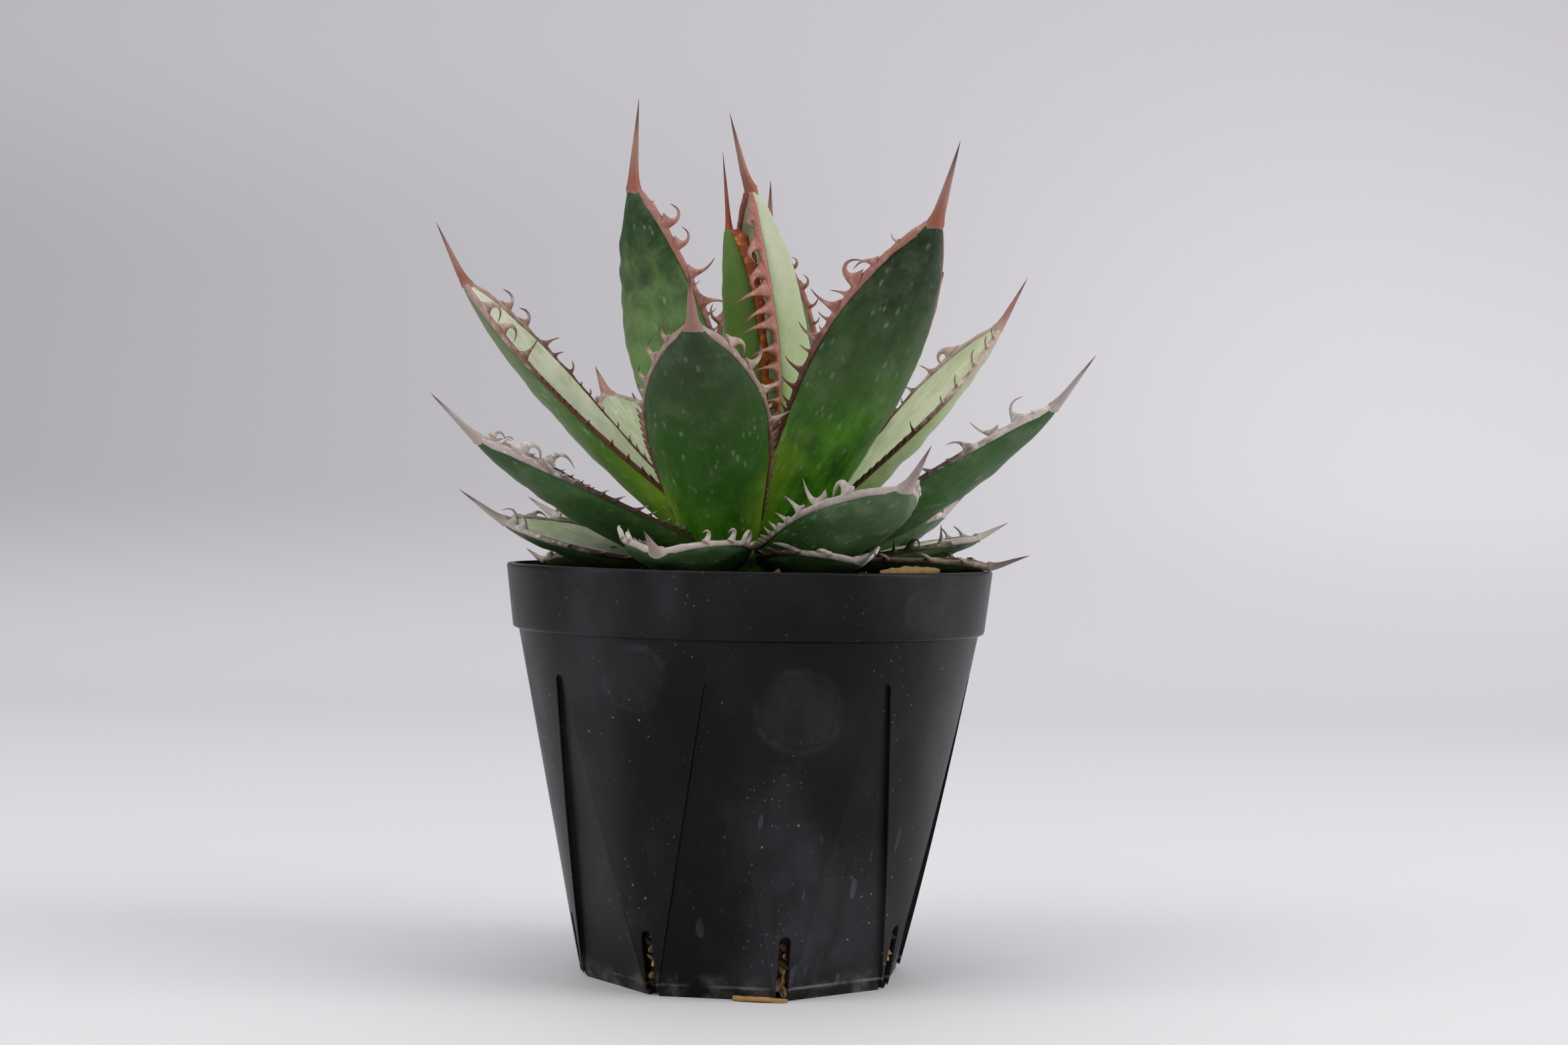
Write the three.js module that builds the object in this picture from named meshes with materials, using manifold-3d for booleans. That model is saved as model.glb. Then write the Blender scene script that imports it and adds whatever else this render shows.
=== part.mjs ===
// Potted agave: a hooked-toothed rosette leaning a little to its left in a black slit pot.
// Millimetres, +Z up. The origin is the middle of the pot's underside, and the picture's
// front is -Y, with +X to the right.
import * as THREE from "three";
import { mergeVertices } from "three/addons/utils/BufferGeometryUtils.js";
import Module from "manifold-3d";

const wasm = await Module();
wasm.setup();

// ---------------------------------------------------------------- driving dimensions
const GAP = 0.3; // clearance between pieces that touch on the plant
const OVER = 2; // how far a cutter runs past what it cuts

const POT = {
  height: 88,
  rimRadius: 52.5, // at the lip
  bandRadius: 51, // at the bottom of the rim band
  bandHeight: 14,
  bodyTopRadius: 49.7,
  footRadius: 35.1,
  wall: 1.2,
  floor: 1.6,
  lipRound: 0.6,
  bandStep: 0.6, // height of the chamfer under the band
  innerStep: [1, 2], // the same step inside, from this far below the band's foot to above it
  sides: 8,
  facets: 32,
  innerFacets: 24,
};

const PANEL = {
  turn: -8.5, // degrees from the front to the first panel's middle
  footDistance: 32.2, // from the axis to the panel, at the foot
  topDistance: 47.2, // and at its apex
  apexHeight: 65.5,
  apexHalfWidth: 1.25,
  footHalfWidth: 12.4,
  reach: 8, // how far the cutting wedge stands out of the wall
  below: 6, // and below the foot
};

const SLIT = { turn: 14, width: 2.5, height: 13.7, from: 27, to: 44 };

const SOIL = { rim: 85, crown: 0.8, bump: 0.4, rings: 4, sectors: 24, hole: 16.6, holeFloor: 66 };

// A sliver of coconut husk that has slipped out under the front of the wall: its outline
// along the front panel and away from it, from the panel's middle.
const HUSK = {
  height: 1.2,
  clear: 0.35,
  outline: [
    [10.5, 0.2],
    [12.4, 1.3],
    [15, 1.5],
    [14.6, 2.4],
    [9, 2.4],
    [4.1, 2.2],
    [3.6, 1.2],
    [4.2, 0.2],
  ],
};

// The short stem with the packed leaf feet round it: [radius, height], from below upwards.
const STEM = {
  x: 2,
  y: 0,
  facets: 18,
  profile: [
    [10, 66.4],
    [16.2, 76],
    [16.2, 86],
    [14.2, 91],
    [10.5, 98],
    [7.5, 104],
    [4.5, 109],
  ],
  top: 111,
};

const LEAF = {
  stations: 8, // facets along the blade, from its foot to its tip
  strips: 4, // facets across the blade
  midribSteps: 40,
  footThickness: 6.4,
  tipThickness: 1.5,
  marginThickness: 1.1,
  neckWidth: 0.66, // of the full width, at the foot
  tipWidth: 0.1,
  widestAt: 0.58, // along the leaf
  thinning: 0.6, // how evenly it thins from foot to tip, 1 being evenly
  arch: 1.6, // how its section falls off to the margins, 2 being a circle's way
  rooted: 1.5, // how far the foot of the blade reaches into the stem before it is cut
  upperShare: 0.3, // of the thickness that lies above the middle surface
};

const EDGE = {
  from: 0.2, // where the horny margin begins, along the leaf
  footBand: 0.7, // width of the margin there
  tipBand: 1.7,
  thickness: 1.1,
  toothTip: 0.5, // thickness at a tooth's point
  bridge: 1.4, // how far the margin reaches past the tip of the blade
  bridgeShare: 0.6, // its width there, of its width at the tip
  barePiece: 14, // the longest straight piece of it without a tooth
  inFromFoot: 0.08, // the margin starts at least this far from where the blade leaves the stem
};

// The terminal spine: [share of its length, share of its foot's radius].
const SPINE = {
  sides: 5,
  footOver: 0.75, // its foot's radius beyond the half width of the blade's tip
  flat: 0.8, // its height over its width
  lift: 0.25, // clearance to the blade, beyond the usual gap
  profile: [
    [0, 1],
    [0.14, 0.68],
    [0.55, 0.36],
  ],
};

// The teeth, from the tip of the leaf down: large and far apart, then small and close.
const TEETH = {
  first: 0.95, // where the first one stands along the leaf, and how far that varies
  firstSpread: 0.05,
  last: 0.43,
  length: [5.2, 6.8],
  spacing: [6.5, 10], // between small ones and between large ones
  uneven: [0.9, 1.15], // shares of the spacing that they keep
  fullSizeAt: 0.65, // along the leaf, and they shrink from there to the foot
  noneAt: 0.25,
  smallest: 0.22, // share of the full size
  nearTip: 0.7, // size of those past nearTipFrom
  nearTipFrom: 0.9,
  curl: [85, 105], // degrees that a tooth turns through, at most what its five corners allow
  elbow: 0.55, // where it bends, along its length
  rootShare: 0.24, // half the width of its root over its length
  rootOver: 0.45, // and what is added to that
  rootRoom: 0.47, // the most of the way to the next tooth that half a root takes
  elbowRise: 0.4, // of its tip's rise off the face, how much it has at its elbow
  thorn: 2.6, // shorter teeth are plain thorns
};

// One row per leaf, from the heart outwards: its name, its heading in degrees (0 = +X and
// -90 = the front), its rise above level in degrees at the foot and at the tip, its length,
// and what it doesn't share with the usual leaf. width: half of the unrolled blade at its
// widest. fold: half the angle that its trough turns through. at, r and z: where the midrib
// starts, round, out from and above the stem. spine: length of the terminal spine, which
// bends by lift degrees more. turn and twist: degrees that the blade is rolled about its
// midrib at the foot, and more at the tip, lifting its plus side. teeth: their size. hook: 1
// where they curl to the tip, -1 to the foot. plus and minus: the big teeth of its two
// margins from the tip down, as [place along the leaf, length, degrees of curl, share of the
// length that the tip rises off the face].
const USUAL_LEAF = {
  width: 13,
  fold: 40,
  r: 4,
  z: 0,
  turn: 0,
  twist: 0,
  spine: 12,
  lift: 16,
  teeth: 1,
  hook: -1,
  plus: [],
  minus: [],
};

const leafRow = (name, az, el, length, more) => ({
  ...USUAL_LEAF,
  name,
  az,
  el,
  length,
  at: az,
  ...more,
});

const LEAF_ROWS = [
  leafRow("bud", -170, [84, 84], 57, { width: 7, fold: 70, r: 2, z: 16, spine: 17, lift: 0, teeth: 0.5 }),
  leafRow("heart_right", 30, [70, 120], 72, {
    width: 13.5,
    fold: 75,
    r: 3,
    z: 12,
    turn: 8,
    spine: 17,
    lift: -24,
    plus: [
      [0.845, 6, 105],
      [0.76, 6.5, 105],
      [0.69, 7, 20],
      [0.6, 7, 30],
      [0.5, 5.5, 30],
    ],
  }),
  leafRow("heart_back", 88, [62, 88], 66, { width: 12, z: 8, spine: 15, lift: 4, teeth: 0.8, hook: 1 }),
  leafRow("upper_left", -146, [45, 88], 81, {
    width: 14.5,
    r: 2.5,
    z: 6,
    turn: -20,
    twist: 22,
    spine: 19,
    lift: 10,
    hook: 1,
    plus: [
      [0.66, 2.5, 60],
      [0.575, 2.5, 60],
      [0.5, 2.5, 60],
    ],
    minus: [
      [0.905, 7.8, 105],
      [0.845, 6.8, 105],
      [0.765, 6.9, 50],
      [0.685, 6.2, -35],
    ],
  }),
  leafRow("upper_right", -53, [40, 62], 85, {
    width: 14.5,
    z: 4,
    spine: 17,
    lift: 8,
    hook: 1,
    plus: [
      [0.87, 5.4, -70],
      [0.81, 9, 105],
      [0.77, 3.8, -15],
      [0.725, 7, 30],
      [0.645, 5.6, 40],
      [0.6, 2.5, 20],
      [0.55, 4.8, 35],
      [0.49, 4, 35],
    ],
    minus: [
      [0.83, 3.6, 80],
      [0.745, 3.2, 80],
      [0.66, 2.5, 60],
      [0.55, 2.5, 20],
    ],
  }),
  leafRow("front", -96, [34, 50], 68, {
    width: 13.5,
    at: -143,
    r: 10,
    z: 2,
    lift: 10,
    hook: 1,
    plus: [
      [0.93, 4, 105],
      [0.85, 5.2, 105],
      [0.75, 4.2, 100],
      [0.64, 4, 60],
    ],
    minus: [
      [0.915, 7.5, -105],
      [0.82, 6.5, 100],
      [0.715, 5.7, -10],
      [0.585, 5.6, -5],
    ],
  }),
  leafRow("back_left", 128, [24, 42], 67, { width: 15, z: 2, spine: 9, lift: 20, teeth: 0.9 }),
  leafRow("left", 182, [32, 55], 84, {
    width: 11.5,
    fold: 34,
    z: 2,
    twist: 20,
    spine: 15,
    hook: 1,
    plus: [
      [0.9, 6.6, 105],
      [0.835, 6.3, 105],
      [0.765, 5.2, -15],
      [0.665, 3.8, 70],
    ],
    minus: [
      [0.915, 6.6, -105, 0.8],
      [0.845, 6.2, -105, 0.8],
      [0.755, 5.6, 0, 0.8],
      [0.52, 2.4, 0],
    ],
  }),
  leafRow("right", 2, [40, 54], 69, {
    width: 10,
    fold: 30,
    z: 2,
    twist: -25,
    spine: 13,
    lift: 14,
    hook: 1,
    plus: [
      [0.93, 3.6, 60, 0.7],
      [0.86, 4, 60, 0.7],
      [0.77, 3, 60, 0.7],
      [0.575, 3, 30, 0.7],
    ],
    minus: [
      [0.86, 8.5, -105],
      [0.775, 4.4, -10],
      [0.69, 3.8, -20],
    ],
  }),
  leafRow("back_right", 60, [28, 50], 64, { r: 5, z: 2, spine: 12, lift: 10, teeth: 0.8 }),
  leafRow("back_middle", 104, [12, 34], 60, { r: 6, spine: 11, lift: 14, teeth: 0.8 }),
  leafRow("front_right", -57, [4, 33], 53, {
    width: 13.5,
    fold: 34,
    lift: 26,
    plus: [
      [0.85, 6.4, 90, 0.6],
      [0.75, 6, 40, 0.6],
      [0.65, 5.6, 45, 0.5],
      [0.56, 3.5, 50, 0.4],
    ],
    minus: [
      [0.95, 6.5, -60],
      [0.87, 6, -60],
    ],
  }),
  leafRow("lower_left", -160, [10, 37], 64.5, {
    twist: 12,
    spine: 14,
    lift: 10,
    minus: [
      [0.885, 6.6, 90, 0.6],
      [0.79, 6.6, 90, 0.6],
      [0.55, 2.5, 60],
    ],
  }),
  leafRow("lower_right", -20, [16, 43], 70.5, {
    fold: 32,
    twist: -5,
    spine: 14,
    plus: [
      [0.92, 6.5, -105, 0.6],
      [0.845, 6.4, 30, 0.6],
      [0.755, 5, 75, 0.5],
      [0.62, 3.4, 50],
    ],
  }),
  leafRow("front_low", -104, [-5, 11], 46, {
    at: -150,
    r: 10,
    z: 1,
    spine: 10,
    lift: 30,
    teeth: 0.9,
    plus: [
      [0.87, 5, 90, 0.4],
      [0.75, 5.4, 90, 0.4],
      [0.64, 5.2, 30, 0.4],
    ],
    minus: [
      [0.85, 4.8, -90, 0.4],
      [0.72, 5.4, -105, 0.4],
      [0.58, 5, 60, 0.4],
    ],
  }),
  leafRow("left_low", -172, [-4, 23], 52, {
    width: 11,
    fold: 26,
    turn: 4,
    twist: 14,
    lift: 22,
    plus: [
      [0.9, 5, 90],
      [0.79, 3.6, 30],
      [0.66, 3, 30],
    ],
    minus: [
      [0.95, 5, -40, 0.8],
      [0.8, 3, 20],
    ],
  }),
  leafRow("right_low", 12, [-2, 18], 45.5, {
    width: 10.5,
    fold: 18,
    z: 0.5,
    turn: 3,
    twist: -3,
    spine: 8,
    plus: [
      [0.78, 5.3, 0, 0.8],
      [0.6, 5.5, -105, 0.8],
      [0.5, 3.2, 0, 0.8],
    ],
    minus: [
      [0.95, 3.8, 20, 0.8],
      [0.85, 3.8, 20, 0.8],
    ],
  }),
  leafRow("back_right_low", 42, [4, 22], 52, { width: 12.5, r: 5, spine: 9, teeth: 0.8 }),
  leafRow("back_left_low", 150, [3, 20], 50, { width: 12.5, r: 5, spine: 9, teeth: 0.8 }),
  leafRow("back_low", 80, [3, 14], 46, { width: 12.5, r: 5, spine: 9, lift: 20, teeth: 0.8 }),
  leafRow("right_lowest", -12, [-1, 2], 45, {
    width: 10.5,
    fold: 18,
    r: 5,
    z: 0.8,
    spine: 9,
    lift: 30,
    teeth: 0.6,
  }),
  leafRow("front_lowest", -62, [1, 6], 39, { width: 10, fold: 30, r: 5, spine: 6, lift: 30, teeth: 0.5 }),
  leafRow("left_lowest", 166, [0, 1], 44, { width: 9, fold: 30, r: 5, spine: 5, lift: 60, teeth: 0.5 }),
];

const COLOURS = {
  pot: 0x1d1e20,
  soil: 0x4a3a2c,
  stem: 0x9aa86a,
  husk: 0xb98f5e,
  blade: 0x3c5f3f,
  edge: 0x7a4a3c,
};

// ---------------------------------------------------------------- solids
const radians = THREE.MathUtils.degToRad;
const { lerp, clamp } = THREE.MathUtils;

// A closed three.js geometry as a solid that can be joined and cut.
function solidFrom(geometry) {
  const bare = geometry.index ? geometry.toNonIndexed() : geometry.clone();
  bare.deleteAttribute("normal");
  bare.deleteAttribute("uv");
  const merged = mergeVertices(bare, 1e-4);
  return new wasm.Manifold(
    new wasm.Mesh({
      numProp: 3,
      vertProperties: new Float32Array(merged.attributes.position.array),
      triVerts: new Uint32Array(merged.index.array),
    }),
  );
}

// The solid's triangles as a flat-shaded geometry.
function geometryFrom(solid) {
  const mesh = solid.getMesh();
  const positions = new Float32Array(mesh.numVert * 3);
  for (let i = 0; i < mesh.numVert; i++) {
    positions.set(mesh.vertProperties.subarray(i * mesh.numProp, i * mesh.numProp + 3), i * 3);
  }
  const geometry = new THREE.BufferGeometry();
  geometry.setAttribute("position", new THREE.BufferAttribute(positions, 3));
  geometry.setIndex(new THREE.BufferAttribute(new Uint32Array(mesh.triVerts), 1));
  const flat = geometry.toNonIndexed();
  flat.computeVertexNormals();
  return flat;
}

const joined = (solids) => solids.reduce((a, b) => a.add(b));

// The largest body of a solid, so that the scraps a cut leaves are dropped.
function largestBody(solid) {
  return solid.decompose().reduce((a, b) => (b.volume() > a.volume() ? b : a));
}

// A closed geometry from quads and triangles, each an array of points.
function geometryOfFaces(faces) {
  const positions = [];
  for (const face of faces) {
    for (let k = 1; k + 1 < face.length; k++) {
      for (const p of [face[0], face[k], face[k + 1]]) positions.push(p.x, p.y, p.z);
    }
  }
  return new THREE.BufferGeometry().setAttribute(
    "position",
    new THREE.Float32BufferAttribute(positions, 3),
  );
}

// A skin over rings of points, closed at both ends. A ring of one point is an apex.
function skin(rings) {
  const faces = [];
  const count = rings[0].length;
  for (let i = 0; i + 1 < rings.length; i++) {
    const [low, high] = [rings[i], rings[i + 1]];
    for (let k = 0; k < count; k++) {
      const next = (k + 1) % count;
      if (high.length === 1) {
        faces.push([low[k], low[next], high[0]]);
      } else {
        faces.push([low[k], low[next], high[next]], [low[k], high[next], high[k]]);
      }
    }
  }
  faces.push([...rings[0]].reverse());
  const last = rings[rings.length - 1];
  if (last.length > 2) faces.push([...last]);
  return geometryOfFaces(faces);
}

// A plate between two grids of points, with its diagonals alike on both faces.
function plate(top, bottom) {
  const faces = [];
  const rows = top.length - 1;
  const columns = top[0].length - 1;
  for (let i = 0; i < rows; i++) {
    for (let j = 0; j < columns; j++) {
      const corners = (grid) => [grid[i][j], grid[i + 1][j], grid[i + 1][j + 1], grid[i][j + 1]];
      const [a, b, c, d] = corners(top);
      const [e, f, g, h] = corners(bottom);
      if (j < columns / 2) {
        faces.push([a, b, c], [a, c, d], [e, g, f], [e, h, g]);
      } else {
        faces.push([a, b, d], [b, c, d], [e, h, f], [f, h, g]);
      }
    }
    faces.push([top[i][0], bottom[i][0], bottom[i + 1][0], top[i + 1][0]]);
    faces.push([
      top[i][columns],
      top[i + 1][columns],
      bottom[i + 1][columns],
      bottom[i][columns],
    ]);
  }
  for (let j = 0; j < columns; j++) {
    faces.push([top[0][j], top[0][j + 1], bottom[0][j + 1], bottom[0][j]]);
    faces.push([top[rows][j], bottom[rows][j], bottom[rows][j + 1], top[rows][j + 1]]);
  }
  return geometryOfFaces(faces);
}

// A solid turned about an upright axis at x, y from a profile of [radius, height] points.
function turned(profile, { facets = POT.facets, turn = 0, x = 0, y = 0 } = {}) {
  const points = profile.map(([radius, height]) => new THREE.Vector2(radius, height));
  const lathe = new THREE.LatheGeometry(points, facets);
  return solidFrom(lathe.rotateX(Math.PI / 2).rotateZ(radians(turn)).translate(x, y, 0));
}

// ---------------------------------------------------------------- pot, soil and stem
const bodyRadius = (height) =>
  lerp(POT.footRadius, POT.bodyTopRadius, height / (POT.height - POT.bandHeight));

// The wedge that flattens the wall into one triangular panel.
function panelWedge(index) {
  const tilt = Math.atan2(PANEL.topDistance - PANEL.footDistance, PANEL.apexHeight);
  const rise = PANEL.apexHeight / Math.cos(tilt);
  const apex = PANEL.apexHalfWidth;
  const foot = PANEL.footHalfWidth + (PANEL.below * (PANEL.footHalfWidth - apex)) / rise;
  const outline = new THREE.Shape();
  outline.moveTo(-foot, -PANEL.below);
  outline.lineTo(foot, -PANEL.below);
  outline.lineTo(apex, rise - apex);
  outline.absarc(0, rise - apex, apex, 0, Math.PI, false);
  outline.closePath();
  const wedge = new THREE.ExtrudeGeometry(outline, {
    depth: PANEL.reach,
    bevelEnabled: false,
    curveSegments: 3,
  });
  wedge.rotateX(Math.PI / 2 + tilt); // upright, facing the front, leaning out at the top
  wedge.translate(0, -PANEL.footDistance, 0);
  wedge.rotateZ(radians(PANEL.turn + (index * 360) / POT.sides));
  return solidFrom(wedge);
}

function slitCutter(index) {
  const half = SLIT.width / 2;
  const outline = new THREE.Shape();
  outline.moveTo(-half, -OVER);
  outline.lineTo(half, -OVER);
  outline.lineTo(half, SLIT.height - half);
  outline.absarc(0, SLIT.height - half, half, 0, Math.PI, false);
  outline.closePath();
  const slot = new THREE.ExtrudeGeometry(outline, {
    depth: SLIT.to - SLIT.from,
    bevelEnabled: false,
    curveSegments: 4,
  });
  slot.rotateX(Math.PI / 2);
  slot.translate(0, -SLIT.from, 0);
  slot.rotateZ(radians(SLIT.turn + (index * 360) / POT.sides));
  return solidFrom(slot);
}

// The room inside the pot's wall, kept clear of the wall by a margin: round where the wall
// is round, and flat behind the panels.
function cavity(margin) {
  const top = POT.height + OVER;
  const inset = POT.wall + margin;
  const bandFoot = POT.height - POT.bandHeight;
  const floor = POT.floor + margin;
  const [below, above] = POT.innerStep;
  const round = turned(
    [
      [0, floor],
      [bodyRadius(floor) - inset, floor],
      [POT.bodyTopRadius - inset, bandFoot - below],
      [POT.bandRadius - inset, bandFoot + above],
      [POT.rimRadius - inset, top],
      [0, top],
    ],
    { facets: POT.innerFacets },
  );
  const slope = (PANEL.topDistance - PANEL.footDistance) / PANEL.apexHeight;
  const toCorner = 1 / Math.cos(Math.PI / POT.sides);
  const flats = turned(
    [
      [0, 0],
      [(PANEL.footDistance - inset) * toCorner, 0],
      [(PANEL.footDistance - inset + slope * top + POT.wall) * toCorner, top + 1],
      [0, top + 1],
    ],
    { facets: POT.sides, turn: PANEL.turn + 180 / POT.sides },
  );
  return round.intersect(flats);
}

function potSolid() {
  const bandFoot = POT.height - POT.bandHeight;
  const outer = turned([
    [0, 0],
    [POT.footRadius, 0],
    [POT.bodyTopRadius, bandFoot],
    [POT.bandRadius, bandFoot + POT.bandStep],
    [POT.rimRadius, POT.height - POT.lipRound],
    [POT.rimRadius - POT.lipRound / 2, POT.height],
    [0, POT.height],
  ]);
  const cutters = [cavity(0)];
  for (let i = 0; i < POT.sides; i++) cutters.push(panelWedge(i), slitCutter(i));
  return outer.subtract(joined(cutters));
}

// Height of the potting mix: a low mound with lumps.
function soilHeight(radius, angle) {
  const share = radius / POT.rimRadius;
  const waves = Math.sin(3 * angle + radius * 0.31) * Math.cos(5 * angle - radius * 0.17);
  const lumps = waves * Math.min(1, 2 * share);
  return SOIL.rim + SOIL.crown * (1 - share * share) + SOIL.bump * lumps;
}

// The potting mix, with the plain hole that the stem stands in. grow adds clearance above
// it and inside the hole.
function soilSolid(grow = 0) {
  const rings = [];
  for (let i = 0; i <= SOIL.rings; i++) {
    const radius = (i * (POT.rimRadius + 1)) / SOIL.rings;
    const ring = [];
    for (let k = 0; k < SOIL.sectors; k++) {
      const angle = (k * 2 * Math.PI) / SOIL.sectors;
      ring.push(
        new THREE.Vector3(
          radius * Math.cos(angle),
          radius * Math.sin(angle),
          soilHeight(radius, angle) + grow,
        ),
      );
    }
    rings.push(i === 0 ? [ring[0]] : ring);
  }
  const skirt = rings[SOIL.rings].map((p) => new THREE.Vector3(p.x, p.y, 0));
  const below = solidFrom(skin([skirt, ...rings.slice(1).reverse(), rings[0]]));
  const hole = turned(
    [
      [0, SOIL.holeFloor + grow],
      [SOIL.hole - grow, SOIL.holeFloor + grow],
      [SOIL.hole - grow, POT.height + OVER],
      [0, POT.height + OVER],
    ],
    STEM,
  );
  return cavity(GAP).intersect(below).subtract(hole);
}

// The stem that the leaves stand on. grow adds clearance all round.
function stemSolid(grow) {
  const side = STEM.profile.map(([radius, height]) => [radius + grow, height]);
  const [footRadius, footHeight] = STEM.profile[0];
  const profile = [
    [0, footHeight - grow],
    [footRadius + grow, footHeight - grow],
    ...side.slice(1),
    [0, STEM.top + grow],
  ];
  return turned(profile, STEM);
}

// The sliver of husk at the foot of the pot.
function huskSolid() {
  const outline = new THREE.Shape(HUSK.outline.map(([x, y]) => new THREE.Vector2(x, -y)));
  const sliver = new THREE.ExtrudeGeometry(outline, { depth: HUSK.height, bevelEnabled: false });
  sliver.translate(0, -PANEL.footDistance - HUSK.clear, 0);
  sliver.rotateZ(radians(PANEL.turn));
  return outwards(sliver);
}

// Radius of the stem at a height, or 0 above it.
function stemRadius(height) {
  const rows = [...STEM.profile, [0, STEM.top]];
  for (let i = 0; i + 1 < rows.length; i++) {
    const [[low, from], [high, to]] = [rows[i], rows[i + 1]];
    if (height < to) return lerp(low, high, clamp((height - from) / (to - from), 0, 1));
  }
  return 0;
}

// ---------------------------------------------------------------- leaves
// Repeatable random numbers from 0 to 1.
function randomFrom(seed) {
  let state = Math.imul(seed, 2654435761) >>> 0;
  return () => {
    state = (Math.imul(state, 1664525) + 1013904223) >>> 0;
    return (state >>> 8) / 16777216;
  };
}

class Leaf {
  constructor(row, index) {
    Object.assign(this, row);
    this.midrib = this.layMidrib();
    this.start = this.leavesStemAt();
    const random = randomFrom(index + 1);
    this.teethBySide = new Map([
      [1, this.layTeeth(this.plus, random)],
      [-1, this.layTeeth(this.minus, random)],
    ]);
  }

  // Unit vectors at s, 0 at the foot and 1 at the tip: along the midrib, across the blade
  // to its plus side, and up out of its face.
  frame(s) {
    const az = radians(this.az);
    const el = radians(lerp(this.el[0], this.el[1], s));
    const along = new THREE.Vector3(
      Math.cos(el) * Math.cos(az),
      Math.cos(el) * Math.sin(az),
      Math.sin(el),
    );
    const level = new THREE.Vector3(Math.sin(az), -Math.cos(az), 0);
    const upright = new THREE.Vector3().crossVectors(level, along);
    const roll = radians(this.turn + this.twist * s);
    const across = level.clone().multiplyScalar(Math.cos(roll)).addScaledVector(upright, Math.sin(roll));
    const up = upright.multiplyScalar(Math.cos(roll)).addScaledVector(level, -Math.sin(roll));
    return { along, across, up };
  }

  layMidrib() {
    const at = radians(this.at);
    const point = new THREE.Vector3(
      STEM.x + this.r * Math.cos(at),
      STEM.y + this.r * Math.sin(at),
      POT.height + this.z,
    );
    const points = [point.clone()];
    for (let i = 1; i <= LEAF.midribSteps; i++) {
      const step = this.length / LEAF.midribSteps;
      point.addScaledVector(this.frame(i / LEAF.midribSteps).along, step);
      points.push(point.clone());
    }
    return points;
  }

  // Where the blade starts: a little inside the surface of the stem.
  leavesStemAt() {
    const outside = this.midrib.findIndex(
      (p) => Math.hypot(p.x - STEM.x, p.y - STEM.y) > stemRadius(p.z) - LEAF.rooted,
    );
    return Math.max(0, outside) / LEAF.midribSteps;
  }

  midribPoint(s) {
    const t = clamp(s, 0, 1) * LEAF.midribSteps;
    const i = Math.min(LEAF.midribSteps - 1, Math.floor(t));
    return this.midrib[i].clone().lerp(this.midrib[i + 1], t - i);
  }

  halfWidth(s) {
    if (s < LEAF.widestAt) {
      return this.width * lerp(LEAF.neckWidth, 1, Math.sin((Math.PI / 2) * (s / LEAF.widestAt)) ** 2);
    }
    const u = (s - LEAF.widestAt) / (1 - LEAF.widestAt);
    return this.width * lerp(LEAF.tipWidth, 1, 1 - u * u);
  }

  thickness(s) {
    return lerp(LEAF.tipThickness, LEAF.footThickness, (1 - s) ** LEAF.thinning);
  }

  // The point at an arc length across the blade from the midrib, raised by lift along the
  // surface's own normal, with the directions there.
  place(s, arc, lift) {
    const { along, across, up } = this.frame(s);
    const radius = this.halfWidth(s) / radians(this.fold);
    const angle = arc / radius;
    const outward = across.clone().multiplyScalar(Math.cos(angle)).addScaledVector(up, Math.sin(angle));
    const normal = up.clone().multiplyScalar(Math.cos(angle)).addScaledVector(across, -Math.sin(angle));
    const point = this.midribPoint(s)
      .addScaledVector(across, radius * Math.sin(angle))
      .addScaledVector(up, radius * (1 - Math.cos(angle)))
      .addScaledVector(normal, lift);
    return { point, along, outward, normal };
  }

  // The green blade, grown by a clearance when it is used to cut its neighbours.
  blade(grow = 0) {
    const top = [];
    const bottom = [];
    for (let i = 0; i <= LEAF.stations; i++) {
      const s = lerp(this.start, 1, i / LEAF.stations);
      const over = i === 0 ? -grow : i === LEAF.stations ? grow : 0;
      const upper = [];
      const lower = [];
      for (let j = 0; j <= LEAF.strips; j++) {
        const v = (2 * j) / LEAF.strips - 1;
        const arc = v * (this.halfWidth(s) + grow);
        const middle = this.thickness(s) - LEAF.marginThickness;
        const thick = LEAF.marginThickness + middle * (1 - Math.abs(v) ** LEAF.arch);
        const above = this.place(s, arc, LEAF.upperShare * thick + grow);
        const below = this.place(s, arc, (LEAF.upperShare - 1) * thick - grow);
        upper.push(above.point.addScaledVector(above.along, over));
        lower.push(below.point.addScaledVector(below.along, over));
      }
      top.push(upper);
      bottom.push(lower);
    }
    return outwards(plate(top, bottom));
  }

  // A point of the unrolled leaf, across and along in mm, as a point in space. Past the edge
  // of the blade the surface runs on straight.
  unrolled(across, along, lift) {
    const s = clamp(along / this.length, 0, 1);
    const side = Math.sign(across) || 1;
    const arc = Math.min(Math.abs(across), this.halfWidth(s));
    const found = this.place(s, side * arc, lift);
    return found.point
      .addScaledVector(found.outward, across - side * arc)
      .addScaledVector(found.along, along - s * this.length);
  }

  terminalSpine(grow) {
    const { along, across, up } = this.frame(1);
    const foot = this.halfWidth(1) + SPINE.footOver;
    const place = this.midribPoint(1).addScaledVector(along, GAP + SPINE.lift - grow);
    const az = radians(this.az);
    const heading = along.clone();
    const rings = [];
    let done = 0;
    for (const [share, radiusShare] of SPINE.profile) {
      const el = radians(this.el[1] + this.lift * share);
      heading.set(Math.cos(el) * Math.cos(az), Math.cos(el) * Math.sin(az), Math.sin(el));
      place.addScaledVector(heading, (share - done) * this.spine);
      done = share;
      const radius = foot * radiusShare;
      rings.push(ringAbout(place, across, up, radius + grow, radius * SPINE.flat + grow, SPINE.sides));
    }
    rings.push([place.clone().addScaledVector(heading, (1 - done) * this.spine + grow)]);
    return outwards(skin(rings));
  }

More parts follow.
